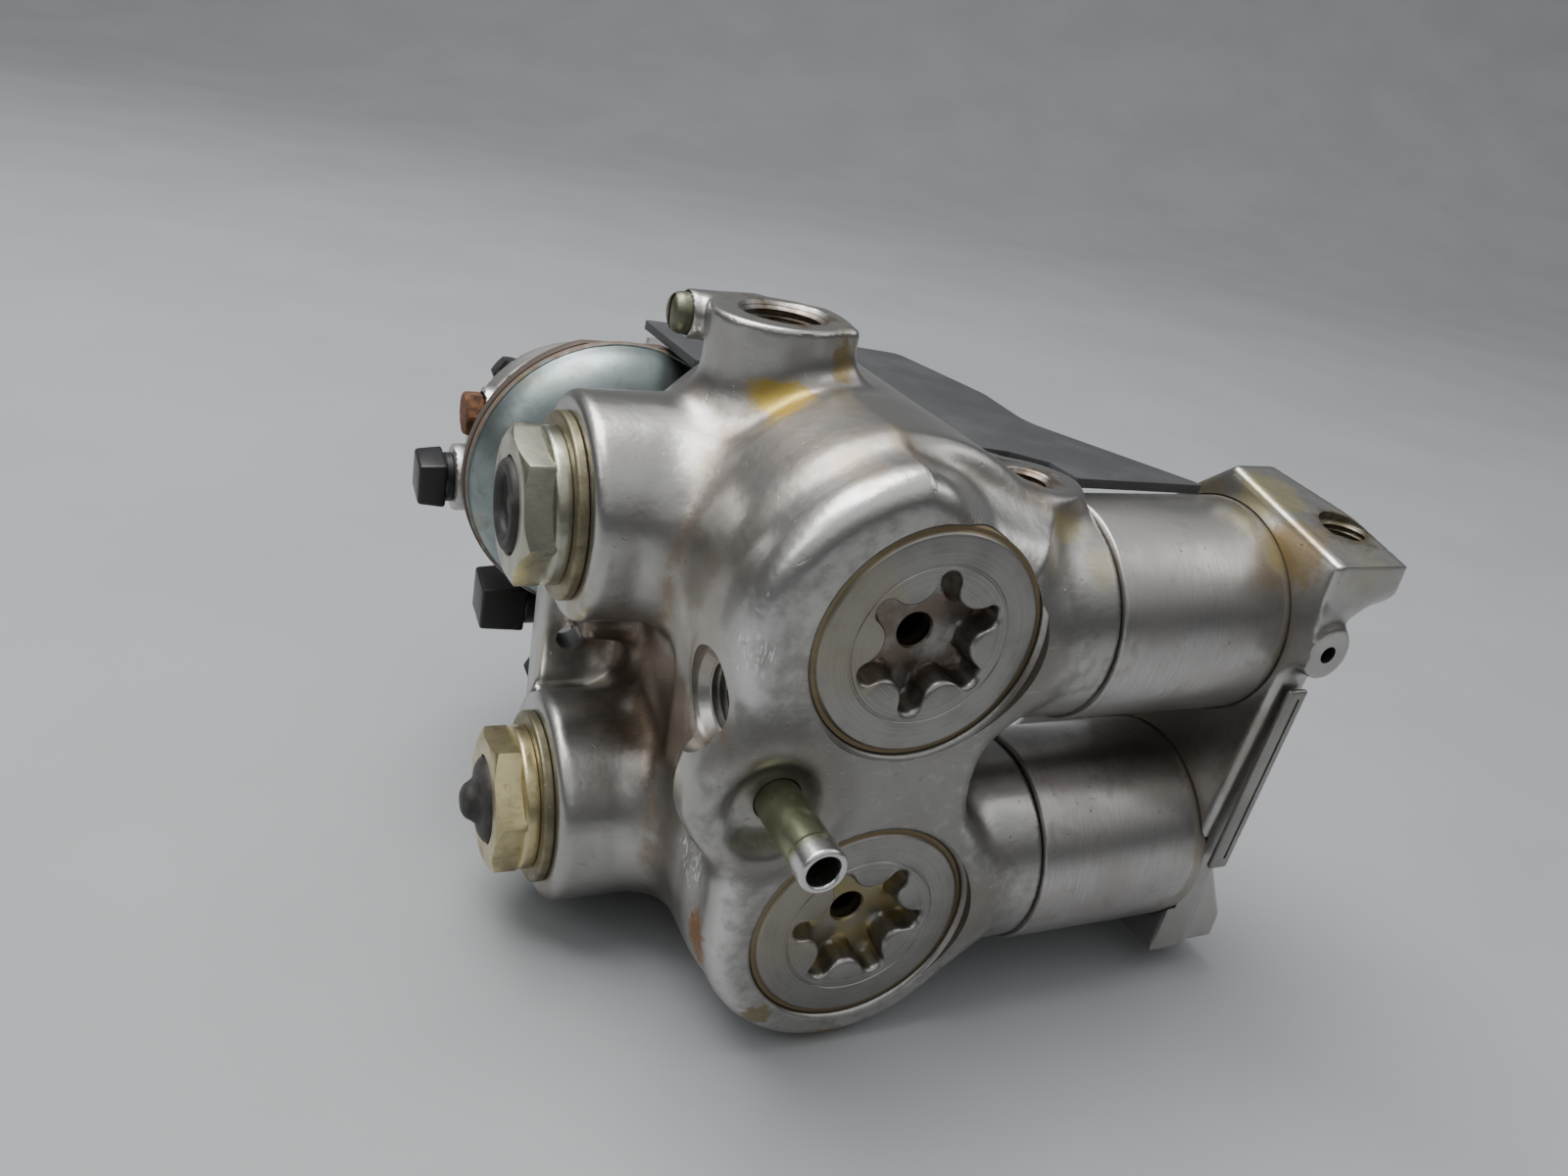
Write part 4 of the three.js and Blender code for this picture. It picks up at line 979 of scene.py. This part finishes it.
def build_fittings():
    look = Look("olive zinc pipe", (0.36, 0.38, 0.25), 0.34)
    look.layer(look.patches(0.4, 0.7, 5, 3), (0.44, 0.45, 0.31), 0.3)
    look.layer(look.patches(0.55, 0.72, 3, 4), (0.17, 0.15, 0.07), 0.45, 0.6, amount=0.6)
    depth = look.math("SUBTRACT", look.component("y"), float(OFFSET[1]))
    bright = look.ramp(look.math("ADD", depth, look.noise(3, 2)), -12.6, -14.6)
    look.layer(bright, (0.62, 0.62, 0.6), 0.27)
    # Painted shade: darker where the pipe sits in the casting's pocket.
    look.layer(look.ramp(depth, -2.5, 1.5), (0.12, 0.1, 0.045), 0.5, 0.5, amount=0.7)
    look.raise_by(look.noise(0.6, 3), 0.02)
    profile = [
        (3.1, -17.4), (3.4, -17.95), (4.15, -17.95), (4.55, -17.4), (4.55, -13.0), (4.45, -12.6),
        (4.45, 5.3), (4.6, 5.6), (4.6, 12), (3.1, 12),
    ]
    nipple = lathe("nipple_pipe", "y", profile, NIPPLE_AT, look.finish(), 72, 0.25, True)
    finish_piece(nipple, "drain_nipple")

    olive = plated_look("bleed zinc", (0.2, 0.2, 0.14), 0.42, (0.06, 0.05, 0.03), 0.7, 4)
    profile = [(0, -31.5), (2.4, -31.4), (3.6, -30.8), (4.15, -29.6), (4.15, -22.4), (0, -22.4)]
    plug = lathe("bleed_plug_head", "x", profile, BLEED, olive, 64, 0.5)
    low, high = BLEED[1] - 6, BLEED[1] + 6
    across = [(-33, low), (-33, high), (-30.6, high), (-30.6, low)]
    slot = extrusion("slot", "y", across, BLEED[0] - 0.6, BLEED[0] + 0.6, olive)
    combine(plug, [slot])
    finish_piece(plug, "bleed_plug")

    at = (PORT_X, ADAPTER_Y)
    steel = turned_look("ball steel", "z", at, (0.5, 0.5, 0.5), 0.25, 0.4)
    ball_r, ball_z = 6, 16.8
    profile = [
        (ball_r * math.sin(a), ball_z - ball_r * math.cos(a)) for a in np.linspace(0, math.pi, 25)
    ]
    ball = lathe("check_ball_steel", "z", profile, at, steel, 48)
    finish_piece(ball, "outlet_check_ball", "check_ball")
    brass = plated_look("retainer brass", (0.42, 0.32, 0.17), 0.38, (0.12, 0.07, 0.03), 0.7, 3)
    profile = [(4, 34.1), (8.2, 34.1), (8.2, 36.6), (4.6, 36.6), (4, 36)]
    retainer = lathe("check_retainer_ring", "z", profile, at, brass, 72, 0.2, True)
    finish_piece(retainer, "outlet_check_retainer")
    build_spring(at)


def build_spring(at):
    turns, around, sides, wire = 5, 36, 10, 0.6
    low, high, radius = 23.2 + wire, 33.8 - wire, 4.6
    points, faces = [], []
    total = turns * around
    for i in range(total + 1):
        t = i / total
        angle = 2 * math.pi * turns * t
        out = np.array([math.cos(angle), math.sin(angle), 0])
        centre = np.array([at[0], at[1], low + (high - low) * t]) + radius * out
        for k in range(sides):
            a = 2 * math.pi * k / sides
            points.append(centre + wire * (math.cos(a) * out + math.sin(a) * np.array([0, 0, 1])))
    for i in range(total):
        for k in range(sides):
            m = (k + 1) % sides
            a, b = i * sides, (i + 1) * sides
            faces.append([a + k, a + m, b + m, b + k])
    faces += [list(range(sides)), list(range(total * sides, (total + 1) * sides))[::-1]]
    steel = turned_look("spring steel", "z", at, (0.4, 0.4, 0.41), 0.3, 0.4)
    spring = mesh_object("check_spring_wire", points, faces, steel)
    finish_piece(spring, "outlet_check_spring")
    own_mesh(spring)


# ---------------------------------------------------------------- end block

HEAD_OUTLINE = [(-7, 17.5), (-7, 4), (46, -6), (46, 8), (36, 18), (27, 25.5)]
FOOT_OUTLINE = [
    (END_X, -87), (END_X + 19.6, -87), (END_X + 19.6, -80), (END_X + 9, -60), (END_X, -60),
]
WEB_WIDTH, HEAD_WIDTH = 9, 19.6
EAR = (END_X + 5.0, -1.6)
END_PORT = (END_X + 12.8, 5.5)
WEB_OUTLINE = [
    (-4.5, 6), (-3, -12), (0, -50), (3, -87), (68, -87), (74, -72), (62, -52), (48, -42),
    (48, 4), (40, 10),
]


def end_field(p, k):
    x, y, z = p
    web = outline_distance(y, z, WEB_OUTLINE)
    web = most(web, between(x, END_X, END_X + WEB_WIDTH), 1.6 * k)
    head = outline_distance(y, z, HEAD_OUTLINE)
    head = most(head, between(x, END_X, END_X + HEAD_WIDTH), 1.8 * k)
    # The head tapers in plan towards the back, and its underside rises away from the tubes.
    head = most(head, (x - (END_X + HEAD_WIDTH)) * 0.92 + (y - 10) * 0.38, 2 * k)
    head = most(head, (4 - 0.19 * (y + 7) + 0.28 * (x - END_X) - z) * 0.94, 3 * k)
    whole = least(web, head, 5 * k)
    foot = most(outline_distance(x, z, FOOT_OUTLINE), between(y, 3, 38), 1.5 * k)
    whole = least(whole, foot, 3 * k)
    whole = least(whole, round_bar(p, "y", 5.7, -8, 4, EAR, 0.7), 4 * k)
    pocket = slab(p, (END_X + 5.5, 8, -66), (END_X + 12, 40, -14), 3)
    whole = most(whole, -pocket, 2 * k)
    return most(whole, END_X - x)


END_STAINS_AND_SHADE = [
    ((END_X + 9, -3, 15), 7, (0.38, 0.34, 0.16), 0.3, (1.3, 1, 0.8)),
    ((END_X + 3, 18, 23), 8, (0.38, 0.33, 0.12), 0.6, (1, 1.2, 1)),
    ((END_X, 4, 15), 9, (0.3, 0.22, 0.1), 0.75, (1, 1, 1.1)),
    ((END_X, 30, 16), 7, (0.25, 0.2, 0.09), 0.6, (1, 1, 1)),
    # Painted shade: darker on the web's front between the tubes.
    ((END_X + 2, -3, -30), 9, (0.2, 0.16, 0.1), 0.35, (1, 1, 2)),
    ((*END_PORT, 20.5), 7, (0.36, 0.32, 0.16), 0.45, (1, 1, 1)),
    # Painted shade: dark brown centred inside the port bore.
    ((*END_PORT, 17), 9.5, (0.12, 0.095, 0.05), 0.85, (0.95, 0.95, 1)),
    # Painted shade: darker on the inner face between the tubes.
    ((END_X, 25, -34), 20, (0.2, 0.16, 0.1), 0.5, (1, 1, 1)),
]


def build_end_block():
    cuts = [
        cutter("z", bore_profile(5.0, 24, 6, 0.2, 1.25), END_PORT),
        drill("z", 5.5, 19.9, 26, END_PORT),
        drill("y", 1.9, -9, 2, EAR, 32),
    ]
    for z in TUBE_ZS:
        ring = [
            (SPIGOT_R, END_X - 1), (TUBE_R + 0.4, END_X - 1), (TUBE_R + 0.4, END_X + 2),
            (SPIGOT_R, END_X + 2),
        ]
        cuts.append(lathe("cutter", "x", ring, (TUBE_Y, z), cut_material, 128, 0, True))
        cuts.append(drill("x", 6, END_X - 5, END_X + 5, (TUBE_Y, z)))
    look = cast_look("cast end block", END_STAINS_AND_SHADE)
    piece = cast_piece(
        "end_block_casting", end_field, (END_X - 1.6, -9.6, -89), (END_X + 21.5, 76, 27), 0.7,
        look, cuts,
    )
    for z in TUBE_ZS:
        spigot = [
            (6, END_X - 4), (SPIGOT_R, END_X - 4), (SPIGOT_R, END_X + 2.2), (6, END_X + 2.2),
        ]
        lug = lathe("lug", "x", spigot, (TUBE_Y, z), look, 96, 0.2, True)
        combine(piece, [lug], "UNION", 40)
    paint_hollows(piece, end_field)
    finish_piece(piece, "end_block")

    strip = [(-3.6, -12), (-5, -12), (-2.4, -60), (-0.9, -60)]
    look = cast_look("strip metal", (), (0.3, 0.293, 0.28), 0.42)
    bar = extrusion("strip_bar", "x", strip, END_X + 3, END_X + 8, look)
    bevelled(bar, 0.6, 3)
    across = [(-6, -14), (-4.55, -14), (-2.15, -57), (-6, -57)]
    groove = extrusion("groove", "x", across, END_X + 5.6, END_X + 6.3, cut_material)
    combine(bar, [groove])
    finish_piece(bar, "end_block_strip")


# ---------------------------------------------------------------- gear pump section

HOUSING_OUTLINE = [
    (-37.5, BASE_Z), (40, BASE_Z), (46, -84), (46, 10), (38, 18), (-16, 18), (-16, -42),
    (-37.5, -42),
]
RELIEF, HOUSING_PLUG, RETURN = (119, -17), (115, -47.6), (119, -1)
SIDE_PLUGS = [(RELIEF, -62.6, 8.0), (HOUSING_PLUG, -39.0, 9.0), (RETURN, -56.5, 6.5)]


def housing_field(p, k):
    x, y, z = p
    block = outline_distance(x, z, HOUSING_OUTLINE)
    block = most(block, between(y, HOUSING_FRONT_Y, CASE_BACK_Y), 4 * k)
    case = round_bar(p, "y", CASE_R, CASE_FRONT_Y, CASE_BACK_Y, (CASE_X, CASE_Z), 0.6)
    whole = least(block, case, 6 * k)
    for at, seat, radius in SIDE_PLUGS:
        whole = least(whole, round_bar(p, "x", radius, seat, CASE_X, at, 0.8), 4 * k)
    whole = most(whole, BASE_Z - z)
    return most(whole, y - CASE_BACK_Y)


def build_housing():
    cuts = [drill("y", 34.6, 80, CASE_FRONT_Y, (CASE_X, DOME_Z), 128)]
    for z in (DRIVE_Z, DRIVE_Z + 2 * GEAR_PITCH_R):
        at = (CASE_X, z)
        cuts.append(drill("y", GEAR_CHAMBER_R, GEAR_CHAMBER_Y, 132, at, 64))
        cuts.append(drill("y", BUSH_BORE_R, 105, GEAR_CHAMBER_Y + 1, at))
    for place in COVER_BOLTS:
        cuts.append(drill("y", 3, 118, 132, place, 24))
    for place in THROUGH_BOLTS:
        cuts.append(drill("y", 3.3, 80, 132, place, 24))
    for place in BRACKET_SCREWS:
        cuts.append(drill("z", 2.9, 7, 22, place, 24))
    for at, seat, _ in SIDE_PLUGS:
        cuts.append(drill("x", 5.4, seat - 2, seat + 9, at, 32))
    cuts.append(cutter("x", bore_profile(8.5, 46, 30, 1.5, 1.5), (108, -45)))
    stains_and_shade = [
        ((-40, 100, -60), 22, (0.16, 0.1, 0.05), 0.6, (1, 1, 1)),
        ((46, 100, -30), 18, (0.3, 0.24, 0.12), 0.4, (1, 1, 1)),
        ((0, 130, -70), 22, (0.25, 0.19, 0.11), 0.4, (1, 1, 1)),
        ((-10, 100, 20), 16, (0.25, 0.19, 0.11), 0.4, (1, 1, 1)),
    ]
    look = cast_look("cast housing", stains_and_shade, (0.5, 0.49, 0.47), 0.44, 0.6)
    piece = cast_piece(
        "pump_casting", housing_field, (-65, 82.5, -96), (48, 132, 23.6), 1.0, look, cuts
    )
    finish_piece(piece, "pump_housing")


def build_dome():
    look = Look("blue zinc", (0.235, 0.275, 0.275), 0.4)
    look.layer(look.patches(0.4, 0.68, 14, 4), (0.3, 0.34, 0.335), 0.36)
    look.layer(look.patches(0.5, 0.75, 5, 5, distortion=1), (0.17, 0.18, 0.16), 0.46, amount=0.6)
    rim = look.radial("y", (CASE_X, DOME_Z))
    ragged = look.math("ADD", rim, look.math("MULTIPLY", look.noise(3, 4), 1.6))
    rust = look.ramp(ragged, 33.6, 34.4)
    look.layer(rust, (0.2, 0.1, 0.05), 0.7, 0.3, amount=0.85)
    film = look.patches(0.55, 0.75, 8, 3)
    look.layer(film, (0.29, 0.29, 0.17), 0.42, 0.7, amount=0.35)
    look.raise_by(look.noise(0.8, 3), 0.03)
    look.raise_by(look.noise(9, 2), 0.2)
    edge_y, outer_r, wall, rise = 103, 32.8, 2, 16.5
    angles = np.linspace(0, math.pi / 2, 25)
    shells = [
        [(r * math.sin(a) ** 0.85, edge_y - h * math.cos(a)) for a in angles]
        for r, h in ((outer_r, rise), (outer_r - wall, rise - wall))
    ]
    rim_profile = [(outer_r, 101.5), (33.1, 101.5), (DOME_R, 101.8), (DOME_R, edge_y)]
    profile = shells[0][:-2] + rim_profile + shells[1][::-1]
    dome = lathe("dome_shell", "y", profile, (CASE_X, DOME_Z), look.finish(), 160)
    finish_piece(dome, "dome_cover")

    ring = [(29.4, 103.1), (33.8, 103.1), (33.8, 106), (29.4, 106)]
    band = painted_look("clamp steel", (0.075, 0.058, 0.045), 0.5)
    clamp = lathe("clamp_band", "y", ring, (CASE_X, DOME_Z), band, 160, 0.4, True)
    above = [(-80, 21.9), (20, 21.9), (20, 40), (-80, 40)]
    top = extrusion("top", "y", above, 95, 115, cut_material)
    combine(clamp, [top])
    finish_piece(clamp, "clamp_ring")


def build_rear_cover():
    stains_and_shade = [((-29, 138, -40), 14, (0.26, 0.18, 0.1), 0.5, (1, 1, 1))]
    look = cast_look("cast cover", stains_and_shade, (0.5, 0.49, 0.47), 0.42, 0.5)
    at, drive = (CASE_X, CASE_Z), (CASE_X, DRIVE_Z)

    def field(p, k):
        plate = round_bar(p, "y", CASE_R, COVER_FRONT_Y, COVER_BACK_Y, at, 1.0)
        boss = round_bar(p, "y", 12.8, 132, COVER_BACK_Y + 5, drive, 0.6)
        whole = least(plate, boss, 4 * k)
        return most(whole, round_bar(p, "y", CASE_R, 120, 150, at))

    cuts = [drill("y", 6.6, 129, 145, drive, 48), drill("y", 9.8, 136, 145, drive, 64)]
    cuts += [drill("y", 3.4, 129, 145, place, 24) for place in COVER_BOLTS]
    cover = cast_piece("cover_casting", field, (-63, 129, -45), (6, 145, 24), 0.9, look, cuts)
    finish_piece(cover, "rear_cover")
    rubber = rubber_look("seal rubber")
    profile = [
        (6.35, 138.5), (7.4, 136.3), (9.6, 136.3), (9.6, 142.6), (8.7, 142.6), (8.3, 141.4),
        (7.4, 141.4), (6.6, 139.4),
    ]
    seal = lathe("seal_ring", "y", profile, drive, rubber, 72, 0.2, True)
    finish_piece(seal, "shaft_seal")


def build_screw(name, node, axis, at, seat, side, head, shank, look):
    """A hexagon screw with a chamfered head and a plain shank. head and shank give the radius
    and length of each, and side says which way along the axis the head points."""
    (head_r, height), (shank_r, length) = head, shank
    top = seat + side * height
    inner = head_r * math.cos(math.pi / 6)
    screw = extrusion(name, axis, polygon(6, head_r, at, HEAD_TURN), seat, top, look)
    dome = [
        (0, seat), (head_r + 0.1, seat), (head_r + 0.1, top - side * 0.22 * height),
        (inner * 0.97, top), (0, top),
    ]
    combine(screw, [cutter(axis, dome, at, 96)], "INTERSECT")
    bevelled(screw, 0.18)
    start, end = seat + side * 0.8, seat - side * length
    pin = [
        (0, start), (shank_r, start), (shank_r, end + side * 0.6), (shank_r - 0.5, end), (0, end),
    ]
    combine(screw, [cutter(axis, pin, at, 32)], "UNION")
    screw.name = name
    finish_piece(screw, node)


def build_square_plug(name, node, at, seat, half, height, collar_height, shank_r, look):
    """Black square-headed plug with a tapered, bevelled head on a round collar."""
    collar_end = seat - collar_height
    square = polygon(4, half * math.sqrt(2), at, HEAD_TURN)
    head = extrusion(name, "x", square, collar_end + 0.2, seat - height, look)
    points = np.zeros(len(head.data.vertices) * 3)
    head.data.vertices.foreach_get("co", points)
    points = points.reshape(-1, 3) * 1000 - OFFSET
    far = points[:, 0] < seat - height + 0.01
    points[far, 1:] = np.array(at) + (points[far, 1:] - np.array(at)) * 0.9
    head.data.vertices.foreach_set("co", to_row(points).ravel())
    bevelled(head, 0.8, 3)
    collar = [
        (0, seat - 0.3), (half * 1.05, seat - 0.3), (half * 1.05, collar_end + 0.4),
        (half * 0.98, collar_end), (0, collar_end),
    ]
    combine(head, [cutter("x", collar, at, 64)], "UNION")
    shank = [(0, seat - 1), (shank_r, seat - 1), (shank_r, seat + 7.7), (0, seat + 7.7)]
    combine(head, [cutter("x", shank, at, 48)], "UNION")
    head.name = name
    finish_piece(head, node)


def build_pump_screws(black):
    sets = [
        # piece, node, axis, places, seat, head, shank
        ("cover_screw", "cover_bolt", "y", COVER_BOLTS, COVER_SEAT_Y, (4.6, 4), (2.6, 16)),
        (
            "through_screw", "through_bolt", "y", THROUGH_BOLTS, THROUGH_SEAT_Y, (6.2, 5),
            (2.9, 52.8),
        ),
        (
            "plate_screw", "bracket_screw", "z", BRACKET_SCREWS, BRACKET_SCREW_SEAT_Z, (5.6, 4),
            (2.6, 15),
        ),
    ]
    for name, node, axis, places, seat, head, shank in sets:
        for i, at in enumerate(places, 1):
            build_screw(
                f"{name}_{i}", f"{node}_{i}", axis, at, seat, 1, head, shank, black
            )
    plastic = painted_look("black plug", (0.012, 0.012, 0.013), 0.36, (0.07, 0.065, 0.06), 0.02)
    build_square_plug("relief_plug_head", "relief_plug", RELIEF, -62.6, 5.6, 8.2, 2, 4.5, plastic)
    build_square_plug(
        "housing_plug_head", "housing_plug", HOUSING_PLUG, -39, 6.4, 16.2, 5.5, 5, plastic
    )
    rust = rust_look("rusted steel")
    build_screw(
        "return_fitting", "return_plug", "x", RETURN, -56.8, -1, (5.5, 4), (3.4, 8), rust
    )


def build_drive_shaft():
    at, stain = (CASE_X, DRIVE_Z), (0.14, 0.085, 0.04)
    steel = turned_look("shaft steel", "y", at, (0.46, 0.46, 0.465), 0.28, 0.4, stain, 0.4)
    profile = [(0, 107.5), (6, 107.5), (6, 157), (5, 158), (0, 158)]
    shaft = lathe("shaft_steel", "y", profile, at, steel, 72, 0.3)
    cuts = []
    for side in (-1, 1):
        a, b = CASE_X + side * 3.5, CASE_X + side * 9
        low, high = DRIVE_Z - 9, DRIVE_Z + 9
        box = [(a, low), (b, low), (b, high), (a, high)]
        cuts.append(extrusion("flat", "y", box, 147, 160, cut_material))
    combine(shaft, cuts)
    finish_piece(shaft, "drive_shaft", "drive")


# ---------------------------------------------------------------- bracket


def rounded_outline(corners):
    """An outline whose corners are rounded. corners lists (x, y, radius)."""
    points = []
    count = len(corners)
    for i, (x, y, radius) in enumerate(corners):
        corner = np.array([x, y], float)
        before = np.array(corners[i - 1][:2], float) - corner
        after = np.array(corners[(i + 1) % count][:2], float) - corner
        before /= np.linalg.norm(before)
        after /= np.linalg.norm(after)
        half = math.acos(np.clip(before @ after, -1, 1)) / 2
        cut = radius / math.tan(half)
        points += rounding(corner + before * cut, corner, corner + after * cut, 8)
    return points


def build_bracket():
    look = painted_look("matte plate", (0.042, 0.043, 0.045), 0.6, (0.09, 0.088, 0.085), 0.015)
    outline = rounded_outline([
        (BRACKET_LEFT_X, 118, 1), (-18, 85.5, 1.5), (27.5, 85.5, 1), (28.5, 42, 1),
        (36, 40.5, 1), (43, 35.5, 1), (44, 27, 1), (78.5, 28.5, 0.3), (78.5, 30.5, 0.5),
        (55.7, 64, 14), (56.9, 84.2, 12), (48.8, 115, 4), (36, 117, 3),
    ])
    low, high = BRACKET_Z, BRACKET_Z + BRACKET_THICKNESS
    plate = extrusion("plate_sheet", "z", outline, low, high, look)
    combine(plate, [drill("z", 3.3, low - 1, high + 1, place, 32) for place in BRACKET_SCREWS])
    bevelled(plate, 0.25)
    pivot = Vector(to_row([(BRACKET_LEFT_X, 0, BRACKET_Z)])[0])
    tilt = Matrix.Rotation(BRACKET_TILT, 4, "Y")
    plate.data.transform(Matrix.Translation(pivot) @ tilt @ Matrix.Translation(-pivot))
    finish_piece(plate, "top_bracket")
    rubber = rubber_look("spacer rubber")
    for i, place in enumerate(BRACKET_SCREWS):
        profile = [(3.3, 18.1), (6, 18.1), (6, 20.8), (3.3, 20.8)]
        ring = lathe(f"spacer_ring_{i + 1}", "z", profile, place, rubber, 48, 0.3, True)
        finish_piece(ring, f"bracket_spacer_{i + 1}")


# ---------------------------------------------------------------- carried-over CAD pieces


def finish_cad_nodes():
    """Materials for the CAD solids that stay: the pieces inside."""
    steel = turned_look("inner steel", "y", (CASE_X, CASE_Z), (0.45, 0.45, 0.46), 0.3, 0.5)
    bronze = plated_look("bush bronze", (0.42, 0.28, 0.13), 0.4)
    rubber = rubber_look("inner rubber")
    piston = turned_look("piston steel", "x", (TUBE_Y, UPPER_TUBE_Z), (0.5, 0.5, 0.5), 0.3, 0.5)
    looks = {"gear": steel, "shaft": steel, "bush": bronze, "seal": rubber, "ring": rubber}
    for name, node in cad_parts.items():
        look = piston if name.endswith("piston") else None
        for word, value in looks.items():
            if look is None and word in name.split("_"):
                look = value
        node.data.materials.clear()
        node.data.materials.append(look or steel)


# ---------------------------------------------------------------- floor and light


def build_stage():
    """A pale floor that curves up behind the unit, a soft sky and three soft lights."""
    half = 3.0
    section = [(-half, 0.0), (1.3, 0.0)]
    section += [(1.3 + math.sin(a), 1 - math.cos(a)) for a in np.radians(np.arange(7.5, 91, 7.5))]
    section.append((2.3, 2.2))
    away = Vector((0.46, 0.888, 0))
    side = Vector((0.888, -0.46, 0))
    points = [away * d + side * w + Vector((0, 0, h)) for d, h in section for w in (-half, half)]
    faces = [(2 * i, 2 * i + 1, 2 * i + 3, 2 * i + 2) for i in range(len(section) - 1)]
    mesh = bpy.data.meshes.new("floor")
    mesh.from_pydata(points, [], faces)
    mesh.polygons.foreach_set("use_smooth", [True] * len(mesh.polygons))
    floor = bpy.data.objects.new("floor", mesh)
    bpy.context.scene.collection.objects.link(floor)
    look = Look("floor paint", (0.32, 0.327, 0.335), 0.6, 0.0)
    look.layer(look.patches(0.3, 0.7, 120, 3), (0.35, 0.357, 0.365), 0.55)
    mesh.materials.append(look.finish())

    world = bpy.data.worlds.new("studio")
    bpy.context.scene.world = world
    world.use_nodes = True
    nodes, links = world.node_tree.nodes, world.node_tree.links
    background = nodes["Background"]
    coordinates = nodes.new("ShaderNodeTexCoord")
    split = nodes.new("ShaderNodeSeparateXYZ")
    links.new(coordinates.outputs["Generated"], split.inputs[0])
    ramp = nodes.new("ShaderNodeValToRGB")
    links.new(split.outputs[2], ramp.inputs[0])
    stops = [(0.0, 0.06), (0.25, 0.14), (0.55, 0.7), (0.85, 1.0)]
    ramp.color_ramp.elements.remove(ramp.color_ramp.elements[1])
    for i, (position, value) in enumerate(stops):
        element = ramp.color_ramp.elements[0] if i == 0 else ramp.color_ramp.elements.new(position)
        element.position = position
        element.color = (0.97 * value, 0.985 * value, value, 1)
    links.new(ramp.outputs[0], background.inputs[0])
    background.inputs[1].default_value = 0.85

    lights = [
        ("top_light", (-0.3, 0.25, 1.15), (0, 0, 0.05), 0.85, 18.0),
        ("left_light", (-1.1, -0.1, 0.95), (0, 0, 0.08), 0.5, 1.6),
        ("right_light", (1.0, -0.3, 0.95), (0.03, 0, 0.06), 0.5, 1.0),
    ]
    for name, place, target, size, power in lights:
        data = bpy.data.lights.new(name, "AREA")
        data.shape = "SQUARE"
        data.size = size
        data.energy = power
        light = bpy.data.objects.new(name, data)
        bpy.context.scene.collection.objects.link(light)
        light.location = place
        direction = Vector(target) - Vector(place)
        light.rotation_euler = direction.to_track_quat("-Z", "Y").to_euler()


# ---------------------------------------------------------------- assembly

finish_cad_nodes()
build_valve_body()
build_star_plug("upper", UPPER_PLUG_Z, math.radians(25), (0.13, 0.085, 0.055), 0.75)
build_star_plug("lower", LOWER_PLUG_Z, math.radians(-3), (0.33, 0.27, 0.11), 0.85)
build_tubes()
build_adapters()
build_fittings()
build_end_block()
build_housing()
build_dome()
black_steel = painted_look("black steel", (0.022, 0.022, 0.024), 0.42)
build_rear_cover()
build_pump_screws(black_steel)
build_drive_shaft()
build_bracket()
build_stage()
